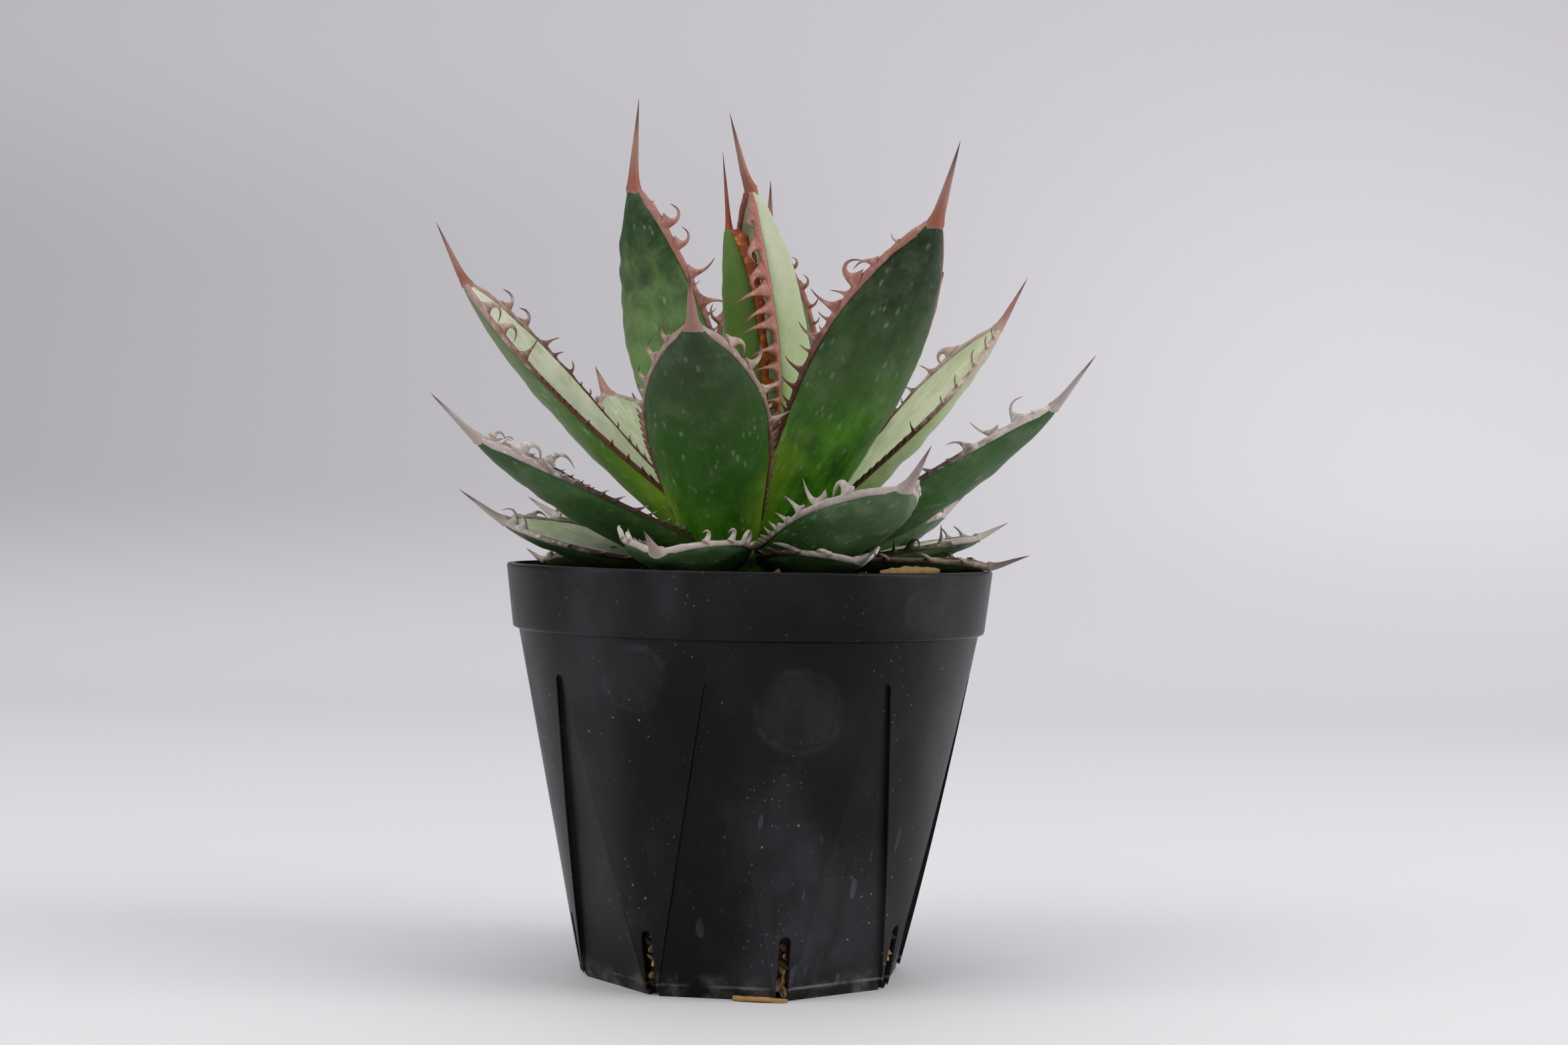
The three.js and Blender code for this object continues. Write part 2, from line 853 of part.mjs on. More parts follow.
  // The teeth of one margin from the tip down: the given ones, then drawn ones below them.
  layTeeth(given, random) {
    const rows = given.map(([s, length, curl, rise = 0]) => ({ s, length, curl, rise }));
    let s = TEETH.first - TEETH.firstSpread * random();
    if (rows.length > 0) s = rows.at(-1).s - TEETH.spacing[0] / this.length;
    while (s > TEETH.last) {
      const grown = (s - TEETH.noneAt) / (TEETH.fullSizeAt - TEETH.noneAt);
      const nearTip = s > TEETH.nearTipFrom ? TEETH.nearTip : 1;
      const size = clamp(grown, TEETH.smallest, 1) * nearTip;
      const length = lerp(...TEETH.length, random()) * size * this.teeth;
      rows.push({ s, length, curl: lerp(...TEETH.curl, random()), rise: 0 });
      const spacing = lerp(...TEETH.spacing, size) * lerp(...TEETH.uneven, random());
      s -= spacing / this.length;
    }
    return rows;
  }

  // Half the width of each tooth's root, less where the next tooth is close.
  rootsOf(rows) {
    return rows.map((row, i) => {
      const next = [rows[i - 1], rows[i + 1]].filter(Boolean);
      const room = next.map(({ s }) => TEETH.rootRoom * Math.abs(s - row.s) * this.length);
      return Math.min(TEETH.rootShare * row.length + TEETH.rootOver, ...room);
    });
  }

  // One tooth's outline on the unrolled leaf, from its root nearer the foot of the leaf to
  // the one nearer the tip, as [across, along, thickness, rise off the face].
  toothOutline(row, root, side) {
    const outward = this.outerEdge(row.s);
    const at = row.s * this.length;
    const point = (out, forward, thick, rise) => [side * (outward + out), at + forward, thick, rise];
    const near = this.edgePoint(row.s - root / this.length, side);
    const far = this.edgePoint(row.s + root / this.length, side);
    const rise = row.rise * row.length;
    if (row.length < TEETH.thorn) {
      return [near, point(row.length, this.hook * root, EDGE.toothTip, rise), far];
    }
    const bend = radians(row.curl) * this.hook;
    const first = TEETH.elbow * row.length;
    const second = row.length - first;
    const half = root / 2;
    const elbow = (sign) =>
      point(
        first - sign * half * Math.sin(bend / 2),
        sign * half * Math.cos(bend / 2),
        (EDGE.thickness + EDGE.toothTip) / 2,
        TEETH.elbowRise * rise,
      );
    const tip = point(first + second * Math.cos(bend), second * Math.sin(bend), EDGE.toothTip, rise);
    return [near, elbow(-1), tip, elbow(1), far];
  }

  bandWidth(s) {
    return lerp(EDGE.footBand, EDGE.tipBand, s * s);
  }

  // From the midrib to the outer edge of the horny margin, unrolled.
  outerEdge(s) {
    return this.halfWidth(s) + GAP + this.bandWidth(s);
  }

  edgePoint(s, side) {
    return [side * this.outerEdge(Math.min(s, 1)), s * this.length, EDGE.thickness, 0];
  }

  // Points of the outer edge where it runs without teeth between two places.
  bareEdge(from, to, side) {
    const points = [];
    const pieces = Math.ceil(((to - from) * this.length) / EDGE.barePiece);
    for (let i = 1; i < pieces; i++) {
      points.push(this.edgePoint(lerp(from, to, i / pieces), side));
    }
    return points;
  }

  // The horny margin with its teeth, unrolled: up one edge of the blade, over its tip and
  // down the other, then back along the blade's own edge.
  marginOutline() {
    const first = Math.max(EDGE.from, this.start + EDGE.inFromFoot);
    const outer = [];
    const inner = [];
    for (const side of [1, -1]) {
      const point = (across, along) => [side * across, along, EDGE.thickness, 0];
      const bladeEdge = (s) => this.halfWidth(s) + GAP;
      const up = [point(bladeEdge(first) + EDGE.footBand, first * this.length)];
      const rows = this.teethBySide.get(side);
      const roots = this.rootsOf(rows);
      let done = first;
      for (let i = rows.length - 1; i >= 0; i--) {
        up.push(...this.bareEdge(done, rows[i].s, side), ...this.toothOutline(rows[i], roots[i], side));
        done = rows[i].s;
      }
      up.push(...this.bareEdge(done, 1, side));
      const shoulder = bladeEdge(1) + this.bandWidth(1);
      up.push(point(shoulder, this.length));
      up.push(point(EDGE.bridgeShare * shoulder, this.length + EDGE.bridge));
      const back = [point(bladeEdge(first), first * this.length)];
      for (let i = 0; i <= LEAF.stations; i++) {
        const s = lerp(this.start, 1, i / LEAF.stations);
        if (s > first) back.push(point(bladeEdge(s), s * this.length));
      }
      back.push(point(bladeEdge(1), this.length + GAP));
      outer.push(...(side > 0 ? up : up.reverse()));
      inner.unshift(...(side > 0 ? back.reverse() : back));
    }
    return [...outer, ...inner];
  }

  marginSolid(grow) {
    const outline = spread(this.marginOutline(), grow);
    const flat = outline.map(([across, along]) => new THREE.Vector2(across, along));
    const triangles = THREE.ShapeUtils.triangulateShape(flat, []);
    const level = (LEAF.upperShare - 0.5) * LEAF.marginThickness;
    const skinAt = ([x, y, thick, rise], way) => {
      return this.unrolled(x, y, level + rise + way * (thick / 2 + grow));
    };
    const top = outline.map((point) => skinAt(point, 1));
    const bottom = outline.map((point) => skinAt(point, -1));
    const faces = [];
    for (const [a, b, c] of triangles) {
      faces.push([top[a], top[b], top[c]], [bottom[a], bottom[c], bottom[b]]);
    }
    for (let i = 0; i < outline.length; i++) {
      const next = (i + 1) % outline.length;
      faces.push([top[i], bottom[i], bottom[next]], [top[i], bottom[next], top[next]]);
    }
    return outwards(geometryOfFaces(faces));
  }

  // The horny margin, its teeth and the terminal spine, as one body.
  edge(grow = 0) {
    return this.marginSolid(grow).add(this.terminalSpine(grow));
  }
}

// A closed outline of [across, along, thickness, rise] pushed outwards all round.
function spread(outline, distance) {
  if (distance === 0) return outline;
  const count = outline.length;
  const normals = outline.map(([x, y], i) => {
    const [nextX, nextY] = outline[(i + 1) % count];
    return new THREE.Vector2(nextY - y, x - nextX).normalize();
  });
  return outline.map(([x, y, thick, rise], i) => {
    const push = normals[i].clone().add(normals[(i + count - 1) % count]).normalize();
    return [x + distance * push.x, y + distance * push.y, thick, rise];
  });
}

// A ring of points about a place, in the plane of two directions.
function ringAbout(place, across, up, wide, high, sides) {
  const ring = [];
  for (let k = 0; k < sides; k++) {
    const angle = (k * 2 * Math.PI) / sides;
    ring.push(
      place
        .clone()
        .addScaledVector(across, wide * Math.cos(angle))
        .addScaledVector(up, high * Math.sin(angle)),
    );
  }
  return ring;
}

// The geometry as a solid, turned right way out if its faces point in.
function outwards(geometry) {
  const solid = solidFrom(geometry);
  if (solid.volume() >= 0) return solid;
  const flipped = geometry.clone();
  const positions = flipped.attributes.position;
  for (let i = 0; i < positions.count; i += 3) {
    const swap = [positions.getX(i + 1), positions.getY(i + 1), positions.getZ(i + 1)];
    positions.setXYZ(i + 1, positions.getX(i + 2), positions.getY(i + 2), positions.getZ(i + 2));
    positions.setXYZ(i + 2, ...swap);
  }
  return solidFrom(flipped);
}

// ---------------------------------------------------------------- assembly
const agave = new THREE.Group();
agave.name = "potted_agave";

function addPiece(name, solid, color, roughness = 0.6) {
  const material = new THREE.MeshStandardMaterial({ color, roughness, metalness: 0 });
  const mesh = new THREE.Mesh(geometryFrom(solid), material);
  mesh.name = name;
  agave.add(mesh);
}

const pot = potSolid();
const soil = soilSolid();
const leaves = LEAF_ROWS.map((row, index) => new Leaf(row, index));
const cut = (solid, others) => largestBody(others.reduce((rest, other) => rest.subtract(other), solid));

// What the leaves are cut clear of: the stem, the potting mix and the pot, a little enlarged.
const raisedPot = solidFrom(geometryFrom(pot).translate(0, 0, GAP));
const holders = [stemSolid(GAP), soilSolid(GAP), raisedPot];

// Each blade is cut clear of the holders and of the blades nearer the heart.
const grownBlades = leaves.map((leaf) => leaf.blade(GAP));
const blades = leaves.map((leaf, i) => cut(leaf.blade(), [...holders, ...grownBlades.slice(0, i)]));

// Each horny edge is cut clear of the holders, of the other blades, and of the edges
// nearer the heart.
const grownEdges = leaves.map((leaf) => leaf.edge(GAP));
const edges = leaves.map((leaf, i) => {
  const otherBlades = grownBlades.filter((_, k) => k !== i);
  return cut(leaf.edge(), [...holders, ...otherBlades, ...grownEdges.slice(0, i)]);
});

addPiece("pot", pot, COLOURS.pot, 0.55);
addPiece("soil", soil, COLOURS.soil, 0.95);
addPiece("stem", stemSolid(0), COLOURS.stem, 0.7);
addPiece("husk_sliver", huskSolid(), COLOURS.husk, 0.9);
leaves.forEach((leaf, i) => {
  addPiece(`leaf_${leaf.name}_blade`, blades[i], COLOURS.blade);
  addPiece(`leaf_${leaf.name}_edge`, edges[i], COLOURS.edge);
});

export default agave;
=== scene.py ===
"""Potted agave: a hooked-toothed rosette in a black slit pot, on a pale sweep.

Sizes are in millimetres in the dataclasses and become metres when a mesh is made. The origin
is the middle of the pot's underside, +Z is up and -Y is the front. A leaf is worked out
unrolled: along its midrib, across it and off its surface, and is then laid into space.
"""

import logging
import math
from dataclasses import dataclass, field
from enum import Enum
from typing import Any, Sequence

import bpy
import numpy as np
from mathutils import Matrix


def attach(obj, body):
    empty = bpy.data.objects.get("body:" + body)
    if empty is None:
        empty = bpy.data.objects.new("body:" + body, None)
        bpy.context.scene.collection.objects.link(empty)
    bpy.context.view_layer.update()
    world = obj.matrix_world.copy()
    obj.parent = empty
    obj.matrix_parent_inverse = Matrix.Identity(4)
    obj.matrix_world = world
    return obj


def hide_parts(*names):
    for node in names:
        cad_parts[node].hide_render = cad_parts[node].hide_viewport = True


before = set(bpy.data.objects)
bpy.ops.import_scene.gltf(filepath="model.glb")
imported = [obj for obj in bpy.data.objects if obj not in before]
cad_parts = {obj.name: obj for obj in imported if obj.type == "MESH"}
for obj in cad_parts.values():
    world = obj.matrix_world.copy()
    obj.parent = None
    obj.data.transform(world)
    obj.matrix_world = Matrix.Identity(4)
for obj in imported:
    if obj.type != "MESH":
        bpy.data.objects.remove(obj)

MM = 0.001
TURN = 2 * math.pi
Array = np.ndarray
RIM_TOP = 88.0
log = logging.getLogger("potted_agave")


# ---------------------------------------------------------------- numbers and meshes
def lerp(a: Any, b: Any, share: Any) -> Any:
    """The value at a share of the way from a to b."""
    return a + (b - a) * share


def smooth(value: Array, low: float, high: float) -> Array:
    """0 below low and 1 above high, with the cubic 3t^2 - 2t^3 between them."""
    t = np.clip((value - low) / (high - low), 0, 1)
    return t * t * (3 - 2 * t)


def around(count: int) -> Array:
    """Angles evenly round a circle, as one row."""
    return np.linspace(0, TURN, count, endpoint=False)[None, :]


def vectors(*parts: Any) -> Array:
    """Coordinates, spread over one another, as vectors on a last axis."""
    return np.stack(np.broadcast_arrays(*parts), axis=-1)


def turned(x: Any, y: Any, angle: Any) -> tuple[Any, Any]:
    """A place turned about +Z: x cos - y sin and x sin + y cos."""
    return x * np.cos(angle) - y * np.sin(angle), x * np.sin(angle) + y * np.cos(angle)


def waves(points: Array, scale: float, seed: int, octaves: int = 3) -> Array:
    """Smooth noise from -1 to 1: sines along slanted directions, each octave finer and weaker.

    Args:
        points: positions, with their coordinates last.
        scale: length of the longest wave, in the points' own units.
        seed: chooses the directions and phases.
        octaves: how many times the waves are halved.

    Returns:
        One value for each point.
    """
    draw = np.random.RandomState(seed)
    total = np.zeros(points.shape[:-1])
    size = 0.0
    for octave in range(octaves):
        strength = 0.55**octave
        for _ in range(4):
            direction = draw.normal(size=points.shape[-1])
            direction *= TURN * 2**octave / (scale * np.linalg.norm(direction))
            total += strength * np.sin(points @ direction + draw.uniform(0, TURN))
        size += 2 * strength
    return np.clip(total / size, -1, 1)


@dataclass
class Shell:
    """Closed surfaces gathered into one mesh, each vertex with two vectors for its finish."""

    points: list[Array] = field(default_factory=list)
    faces: list[list[int]] = field(default_factory=list)
    marks: list[Array] = field(default_factory=list)
    flats: list[Array] = field(default_factory=list)
    count: int = 0

    def add(self, points: Array, faces: Sequence[Array], mark: Array, flat: Array) -> None:
        """Adds one or more closed surfaces, turned to face outwards.

        The volume is summed over fans of each face, v0 . (v1 x v2) / 6, and where it is
        negative every face is reversed.

        Args:
            points: (n, 3) positions in millimetres.
            faces: arrays of vertex numbers, one row for each face.
            mark: (n, 3) what the finish reads at each vertex.
            flat: (n, 3) the unrolled place of each vertex, in millimetres.
        """
        centred = points - points.mean(axis=0)
        volume = 0.0
        for block in faces:
            corners = centred[block]
            for k in range(1, block.shape[1] - 1):
                cross = np.cross(corners[:, k], corners[:, k + 1])
                volume += float((corners[:, 0] * cross).sum())
        for block in faces:
            outward = block if volume >= 0 else block[:, ::-1]
            self.faces += (outward + self.count).tolist()
        self.points.append(points)
        self.marks.append(mark)
        self.flats.append(flat)
        self.count += len(points)

    def add_tubes(self, rings: Array, mark: Array, flat: Array) -> None:
        """Adds tubes from rings of points, each end closed by a fan about its middle.

        Args:
            rings: (tubes, rings, points round, 3) positions in millimetres, or those of one tube.
            mark: what the finish reads, of that shape or spread over it.
            flat: the unrolled places, of that shape or spread over it.
        """
        rings = rings.reshape(-1, *rings.shape[-3:])
        tubes, rows, sides = rings.shape[:3]
        size = rows * sides
        ids = np.arange(size).reshape(rows, sides)
        after = np.roll(ids, -1, axis=1)
        body = np.stack([ids[:-1], after[:-1], after[1:], ids[1:]], axis=-1).reshape(-1, 4)
        foot = np.stack([after[0], ids[0], np.full(sides, size)], axis=-1)
        head = np.stack([ids[-1], after[-1], np.full(sides, size + 1)], axis=-1)
        step = (np.arange(tubes) * (size + 2))[:, None, None]

        def closed(values: Array) -> Array:
            """The rings' values with those of the two fan middles after them."""
            values = np.broadcast_to(values, rings.shape)
            ends = values[:, [0, -1]].mean(axis=2)
            return np.concatenate([values.reshape(tubes, size, 3), ends], axis=1).reshape(-1, 3)

        faces = [(block[None] + step).reshape(-1, block.shape[1]) for block in (body, foot, head)]
        self.add(closed(rings), faces, closed(mark), closed(flat))

    def make(self, name: str, material: bpy.types.Material, sharp: float = 0.0) -> bpy.types.Object:
        """Makes the mesh and its object at the origin.

        Args:
            name: the object's name.
            material: its finish.
            sharp: edges that turn by more degrees than this stay crisp; 0 keeps all smooth.

        Returns:
            The new object, linked to the scene.
        """
        mesh = bpy.data.meshes.new(name)
        mesh.from_pydata((np.concatenate(self.points) * MM).tolist(), [], self.faces)
        for label, parts in (("mark", self.marks), ("flat", self.flats)):
            layer = mesh.attributes.new(label, "FLOAT_VECTOR", "POINT")
            layer.data.foreach_set("vector", np.concatenate(parts).astype(np.float32).ravel())
        mesh.shade_smooth()
        if sharp:
            mesh.set_sharp_from_angle(angle=math.radians(sharp))
        mesh.materials.append(material)
        made = bpy.data.objects.new(name, mesh)
        bpy.context.scene.collection.objects.link(made)
        return made


def settle(piece: bpy.types.Object, node: str) -> None:
    """Lets a piece ride on the part and stand for a CAD node."""
    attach(piece, "root")
    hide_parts(node)
    log.info("%s: %d faces, for %s", piece.name, len(piece.data.polygons), node)


# ---------------------------------------------------------------- shader expressions
def linear(colour: str) -> tuple[float, float, float, float]:
    """The linear light values of a colour written as six hexadecimal digits."""
    values = [int(colour[i : i + 2], 16) / 255 for i in (0, 2, 4)]
    parts = [v / 12.92 if v <= 0.04045 else ((v + 0.055) / 1.055) ** 2.4 for v in values]
    return (*parts, 1.0)


class Value:
    """A socket of numbers that takes part in Python arithmetic by adding Math nodes."""

    def __init__(self, tree: "Tree", socket: bpy.types.NodeSocket) -> None:
        """Keeps the tree that new nodes go into, and the socket itself."""
        self.tree = tree
        self.socket = socket

    def _math(self, operation: str, *values: Any) -> "Value":
        """A Math node of that operation on the values, in order."""
        return self.tree.node("ShaderNodeMath", {"operation": operation}, dict(enumerate(values)))

    def __add__(self, other: Any) -> "Value":
        """self + other."""
        return self._math("ADD", self, other)

    def __radd__(self, other: Any) -> "Value":
        """other + self."""
        return self._math("ADD", other, self)

    def __sub__(self, other: Any) -> "Value":
        """self - other."""
        return self._math("SUBTRACT", self, other)

    def __rsub__(self, other: Any) -> "Value":
        """other - self."""
        return self._math("SUBTRACT", other, self)

    def __mul__(self, other: Any) -> "Value":
        """self * other."""
        return self._math("MULTIPLY", self, other)

    def __rmul__(self, other: Any) -> "Value":
        """other * self."""
        return self._math("MULTIPLY", other, self)

    def __pow__(self, other: Any) -> "Value":
        """self ** other."""
        return self._math("POWER", self, other)

    def __abs__(self) -> "Value":
        """The value without its sign."""
        return self._math("ABSOLUTE", self)

    def step(self, low: float, high: float) -> "Value":
        """0 below low and 1 above high, smooth between them. low may be the higher one."""
        settings = {"interpolation_type": "SMOOTHSTEP"}
        if low > high:
            return 1 - self.step(high, low)
        sockets = {"Value": self, "From Min": low, "From Max": high}
        return self.tree.node("ShaderNodeMapRange", settings, sockets)


class Tree:
    """A material's node tree, built by expressions."""

    def __init__(self, name: str) -> None:
        """Starts a material of that name with its Principled BSDF and nothing else."""
        self.material = bpy.data.materials.new(name)
        self.material.use_nodes = True
        self.tree = self.material.node_tree
        self.tree.nodes.clear()
        self.shader = self.tree.nodes.new("ShaderNodeBsdfPrincipled")
        output = self.tree.nodes.new("ShaderNodeOutputMaterial")
        self.tree.links.new(self.shader.outputs["BSDF"], output.inputs["Surface"])

    def node(self, kind: str, settings: dict[str, Any], sockets: dict[Any, Any], out: Any = 0) -> Value:
        """Adds a node.

        Args:
            kind: the node's type.
            settings: its properties, set before its sockets.
            sockets: values, colours as hexadecimal text, or links, by socket name or number.
            out: which output is returned.

        Returns:
            That output.
        """
        made = self.tree.nodes.new(kind)
        for key, value in settings.items():
            setattr(made, key, value)
        for key, value in sockets.items():
            self.feed(made.inputs[key], value)
        return Value(self, made.outputs[out])

    def feed(self, socket: bpy.types.NodeSocket, value: Any) -> None:
        """Links a value to a socket, or sets the socket where it is a plain one."""
        if isinstance(value, Value):
            self.tree.links.new(value.socket, socket)
        else:
            socket.default_value = linear(value) if isinstance(value, str) else value

    def attribute(self, name: str) -> Value:
        """The mesh's own vector of that name."""
        settings = {"attribute_type": "GEOMETRY", "attribute_name": name}
        return self.node("ShaderNodeAttribute", settings, {}, "Vector")

    def parts(self, vector: Value) -> list[Value]:
        """The three coordinates of a vector."""
        made = self.node("ShaderNodeSeparateXYZ", {}, {0: vector})
        return [Value(self, out) for out in made.socket.node.outputs]

    def place(self) -> Value:
        """The place on the object, in metres."""
        return self.node("ShaderNodeTexCoord", {}, {}, "Object")

    def stretch(self, vector: Value, scale: Sequence[float], shift: Sequence[float] = (0, 0, 0)) -> Value:
        """The vector moved and scaled along its axes."""
        return self.node("ShaderNodeMapping", {}, {"Vector": vector, "Location": shift, "Scale": scale})

    def noise(self, vector: Value, scale: float, detail: float = 3.0, rough: float = 0.55) -> Value:
        """Fractal noise about 0.5."""
        sockets = {"Vector": vector, "Scale": scale, "Detail": detail, "Roughness": rough}
        return self.node("ShaderNodeTexNoise", {}, sockets, "Fac")

    def cells(self, vector: Value, scale: float) -> Value:
        """Distance to the nearest of scattered points, in cells."""
        return self.node("ShaderNodeTexVoronoi", {}, {"Vector": vector, "Scale": scale}, "Distance")

    def mix(self, share: Any, a: Any, b: Any) -> Value:
        """The colour a turned into b by a share."""
        settings = {"data_type": "RGBA", "clamp_factor": True}
        return self.node("ShaderNodeMix", settings, {0: share, 6: a, 7: b}, 2)

    def bump(self, height: Value, depth: float, strength: float = 1.0) -> Value:
        """A normal from a height from 0 to 1 that stands for a depth in millimetres."""
        sockets = {"Height": height, "Distance": depth * MM, "Strength": strength}
        return self.node("ShaderNodeBump", {}, sockets, "Normal")

    def finish(self, **sockets: Any) -> bpy.types.Material:
        """Feeds the shader's sockets, named with underscores for spaces, and gives the material."""
        for key, value in sockets.items():
            self.feed(self.shader.inputs[key.replace("_", " ")], value)
        return self.material


# ---------------------------------------------------------------- finishes
@dataclass(frozen=True)
class SkinFinish:
    """Green skin of a leaf: dark back, paler face, a foot of another green (painted shade in some skins), a
    painted glow near the margins low on the back, bloom, dashes and specks.

    foot_reach is how far up the leaf the foot's green fades out, from 0 to 1.
    """

    back: str = "324d22"
    back_high: str = "304228"
    foot: str = "589a08"
    foot_deep: str = "1f5200"
    painted_glow: str = "9cc03c"
    face: str = "cdd3b8"
    face_low: str = "9cb078"
    streak: str = "dbe0cc"
    cloud: str = "98a48c"
    dash: str = "dde4d4"
    speck: str = "b4c09c"
    pore: str = "1e3316"
    scratch: str = "b9c6a4"
    foot_reach: float = 0.5
    bloom: float = 0.35
    dashes: float = 0.5

    def material(self, name: str) -> bpy.types.Material:
        """Builds the skin.

        mark holds the place across the leaf (-1 to 1), along it (0 to 1) and the side (1 on
        the face, -1 on the back). flat holds the unrolled place in millimetres.

        Args:
            name: the material's name.

        Returns:
            The material.
        """
        t = Tree(name)
        across, along, side = t.parts(t.attribute("mark"))
        flat = t.attribute("flat")
        large = t.noise(flat, 0.055, 2.0)
        patches = t.noise(t.stretch(flat, (1, 0.35, 1)), 0.35, 4.0, 0.6)
        grain = t.noise(flat, 2.6, 3.0)
        ribs = t.noise(t.stretch(flat, (1, 0.06, 1)), 0.9, 2.0)
        onto_face = side.step(-0.08, 0.1)
        # The back: deep green, greyer towards the tip, and another green at the foot: bright in most skins,
        # and near black in OUTER and NEAR, where it is painted shade under the leaves above.
        near_foot = (along + (large - 0.5) * 0.24 + abs(across) * 0.1).step(self.foot_reach, 0.08)
        back = t.mix((along + (patches - 0.5) * 0.5).step(0.45, 0.95), self.back, self.back_high)
        foot = t.mix((patches + ribs * 0.25).step(0.4, 0.9), self.foot_deep, self.foot)
        back = t.mix(near_foot, back, foot)
        # Painted glow: the back turns bright green near the margins low down, for light shining through the
        # thin edges.
        rim = abs(across).step(0.35, 1.0) * (along + (large - 0.5) * 0.3).step(0.45, 0.12)
        back = t.mix(rim * 0.85, back, self.painted_glow)
        # The face: grey-green with long pale streaks, greener at the foot.
        face = t.mix((along + (patches - 0.5) * 0.3).step(0.75, 0.12), self.face, self.face_low)
        face = t.mix((ribs - 0.5).step(-0.02, 0.2) * 0.3, face, self.streak)
        face = t.mix((large + patches - 1).step(-0.02, 0.16) * 0.5, face, self.face_low)
        # Bloom that rubs off in clouds, and pale dashes that run along the leaf.
        clouds = t.noise(flat, 0.16, 5.0, 0.65)
        bloom = (clouds + patches * 0.35).step(0.6, 0.95) * self.bloom
        colour = t.mix(onto_face, back, face)
        colour = t.mix(bloom * (0.4 + 0.6 * along.step(0.15, 0.6)), colour, self.cloud)
        cells = t.cells(t.stretch(flat, (1, 0.36, 1)), 0.62)
        sparse = t.noise(flat, 0.12, 2.0).step(0.42, 0.62)
        dashes = cells.step(0.3, 0.14) * sparse * self.dashes
        colour = t.mix(dashes * (0.26 + 0.7 * onto_face), colour, self.dash)
        specks = t.cells(flat, 1.5).step(0.12, 0.05) * patches.step(0.5, 0.6)
        colour = t.mix(specks * 0.3, colour, self.speck)
        colour = t.mix((grain - 0.5).step(-0.1, 0.3) * 0.16, colour, self.pore)
        wander = t.noise(t.stretch(flat, (1, 0.22, 1), (9, 0, 0)), 0.16, 0.0)
        scratches = abs(wander - 0.5).step(0.004, 0.0) * t.noise(flat, 0.09, 2.0).step(0.54, 0.64)
        colour = t.mix(scratches * 0.22, colour, self.scratch)
        height = patches * 0.5 + ribs * 0.35 + grain * 0.12
        return t.finish(
            Base_Color=colour,
            Roughness=0.44 + (clouds - 0.5) * 0.3 + bloom * 0.25,
            Normal=t.bump(height, 0.45, 0.7),
            Specular_IOR_Level=0.13,
        )


@dataclass(frozen=True)
class HornFinish:
    """Horny margin, teeth and terminal spine.

    change is where along the leaf, from 0 to 1, the low colour gives way to the high one.
    """

    low: str = "5a2f22"
    high: str = "96655a"
    pale: str = "b48f84"
    tooth_tip: str = "54302b"
    spine_foot: str = "8c4f3a"
    spine_middle: str = "936d62"
    spine_tip: str = "4c3638"
    pit: str = "3a211a"
    change: float = 0.62

    def material(self, name: str) -> bpy.types.Material:
        """Builds the horn.

        mark holds how far out a point is on its tooth or spine (0 to 1), its place along
        the leaf (0 to 1), and 1 on the spine. flat is the unrolled place in millimetres.

        Args:
            name: the material's name.

        Returns:
            The material.
        """
        t = Tree(name)
        out, along, spine = t.parts(t.attribute("mark"))
        flat = t.attribute("flat")
        mottle = t.noise(flat, 0.5, 4.0, 0.6)
        fine = t.noise(flat, 3.2, 3.0)
        streak = t.noise(t.stretch(flat, (1, 0.25, 1)), 1.4, 3.0)
        up = (along + (mottle - 0.5) * 0.35).step(self.change - 0.16, self.change + 0.12)
        colour = t.mix(up, self.low, self.high)
        colour = t.mix((mottle + out * 0.3).step(0.48, 0.72) * up * 0.8, colour, self.pale)
        colour = t.mix((out + (fine - 0.5) * 0.3).step(0.35, 0.95), colour, self.tooth_tip)
        shaft = t.mix((out + (streak - 0.5) * 0.3).step(0.02, 0.4), self.spine_foot, self.spine_middle)
        shaft = t.mix((out + (streak - 0.5) * 0.35).step(0.5, 0.95), shaft, self.spine_tip)
        shaft = t.mix(streak.step(0.58, 0.74) * 0.35, shaft, self.pale)
        colour = t.mix(spine, colour, shaft)
        colour = t.mix(fine.step(0.62, 0.75) * 0.4, colour, self.pit)
        return t.finish(
            Base_Color=colour,
            Roughness=0.5 + (mottle - 0.5) * 0.25,
            Normal=t.bump(streak * 0.7 + fine * 0.3, 0.16, 0.8),
            Specular_IOR_Level=0.4,
        )


class Horn(Enum):
    """The colours that the horny parts come in."""

    BROWN = HornFinish(low="4e281c", change=0.66)
    UMBER = HornFinish(low="5c3322", high="a3837a", pale="c4aea6", tooth_tip="6a4236", change=0.8)
    ROSE = HornFinish(low="8a4a34", high="9c6058", pale="b58a80", tooth_tip="7a3f36", change=0.3)
    ASH = HornFinish(low="5c3a2c", high="917a70", pale="b9a79f", spine_foot="8f6a5e", change=0.62)
    WHITE = HornFinish(
        low="453229", high="b2a6a1", pale="dad3d0", tooth_tip="8d8280", spine_foot="a39892",
        spine_middle="a59a96", spine_tip="4e4245", change=0.78,
    )
    CHALK = HornFinish(
        low="6b5346", high="aea19c", pale="cdc5c2", tooth_tip="8a7e7b", spine_foot="a3938e",
        spine_middle="94837f", spine_tip="5c4b4d", change=0.4,
    )
    FAWN = HornFinish(
        low="4c2c1f", high="b09a90", pale="cfc1b9", tooth_tip="8f6f60", spine_foot="a58478", change=0.72,
    )
    ORANGE = HornFinish(
        low="a8480c", high="8f3a1c", pale="dc9c40", tooth_tip="8c3a10", spine_foot="8f3e22",
        spine_middle="8c4636", change=0.5,
    )
    DRY = HornFinish(
        low="6b4a30", high="7d6a5a", pale="a8998e", tooth_tip="4a3a34", spine_foot="7f7068",
        spine_middle="75685f", change=0.5,
    )
    TARRY = HornFinish(
        low="2b221d", high="a0938c", pale="c2b8b2", tooth_tip="453a35", spine_foot="b0a59f",
        spine_middle="ada29c", spine_tip="85786f", change=0.8,
    )


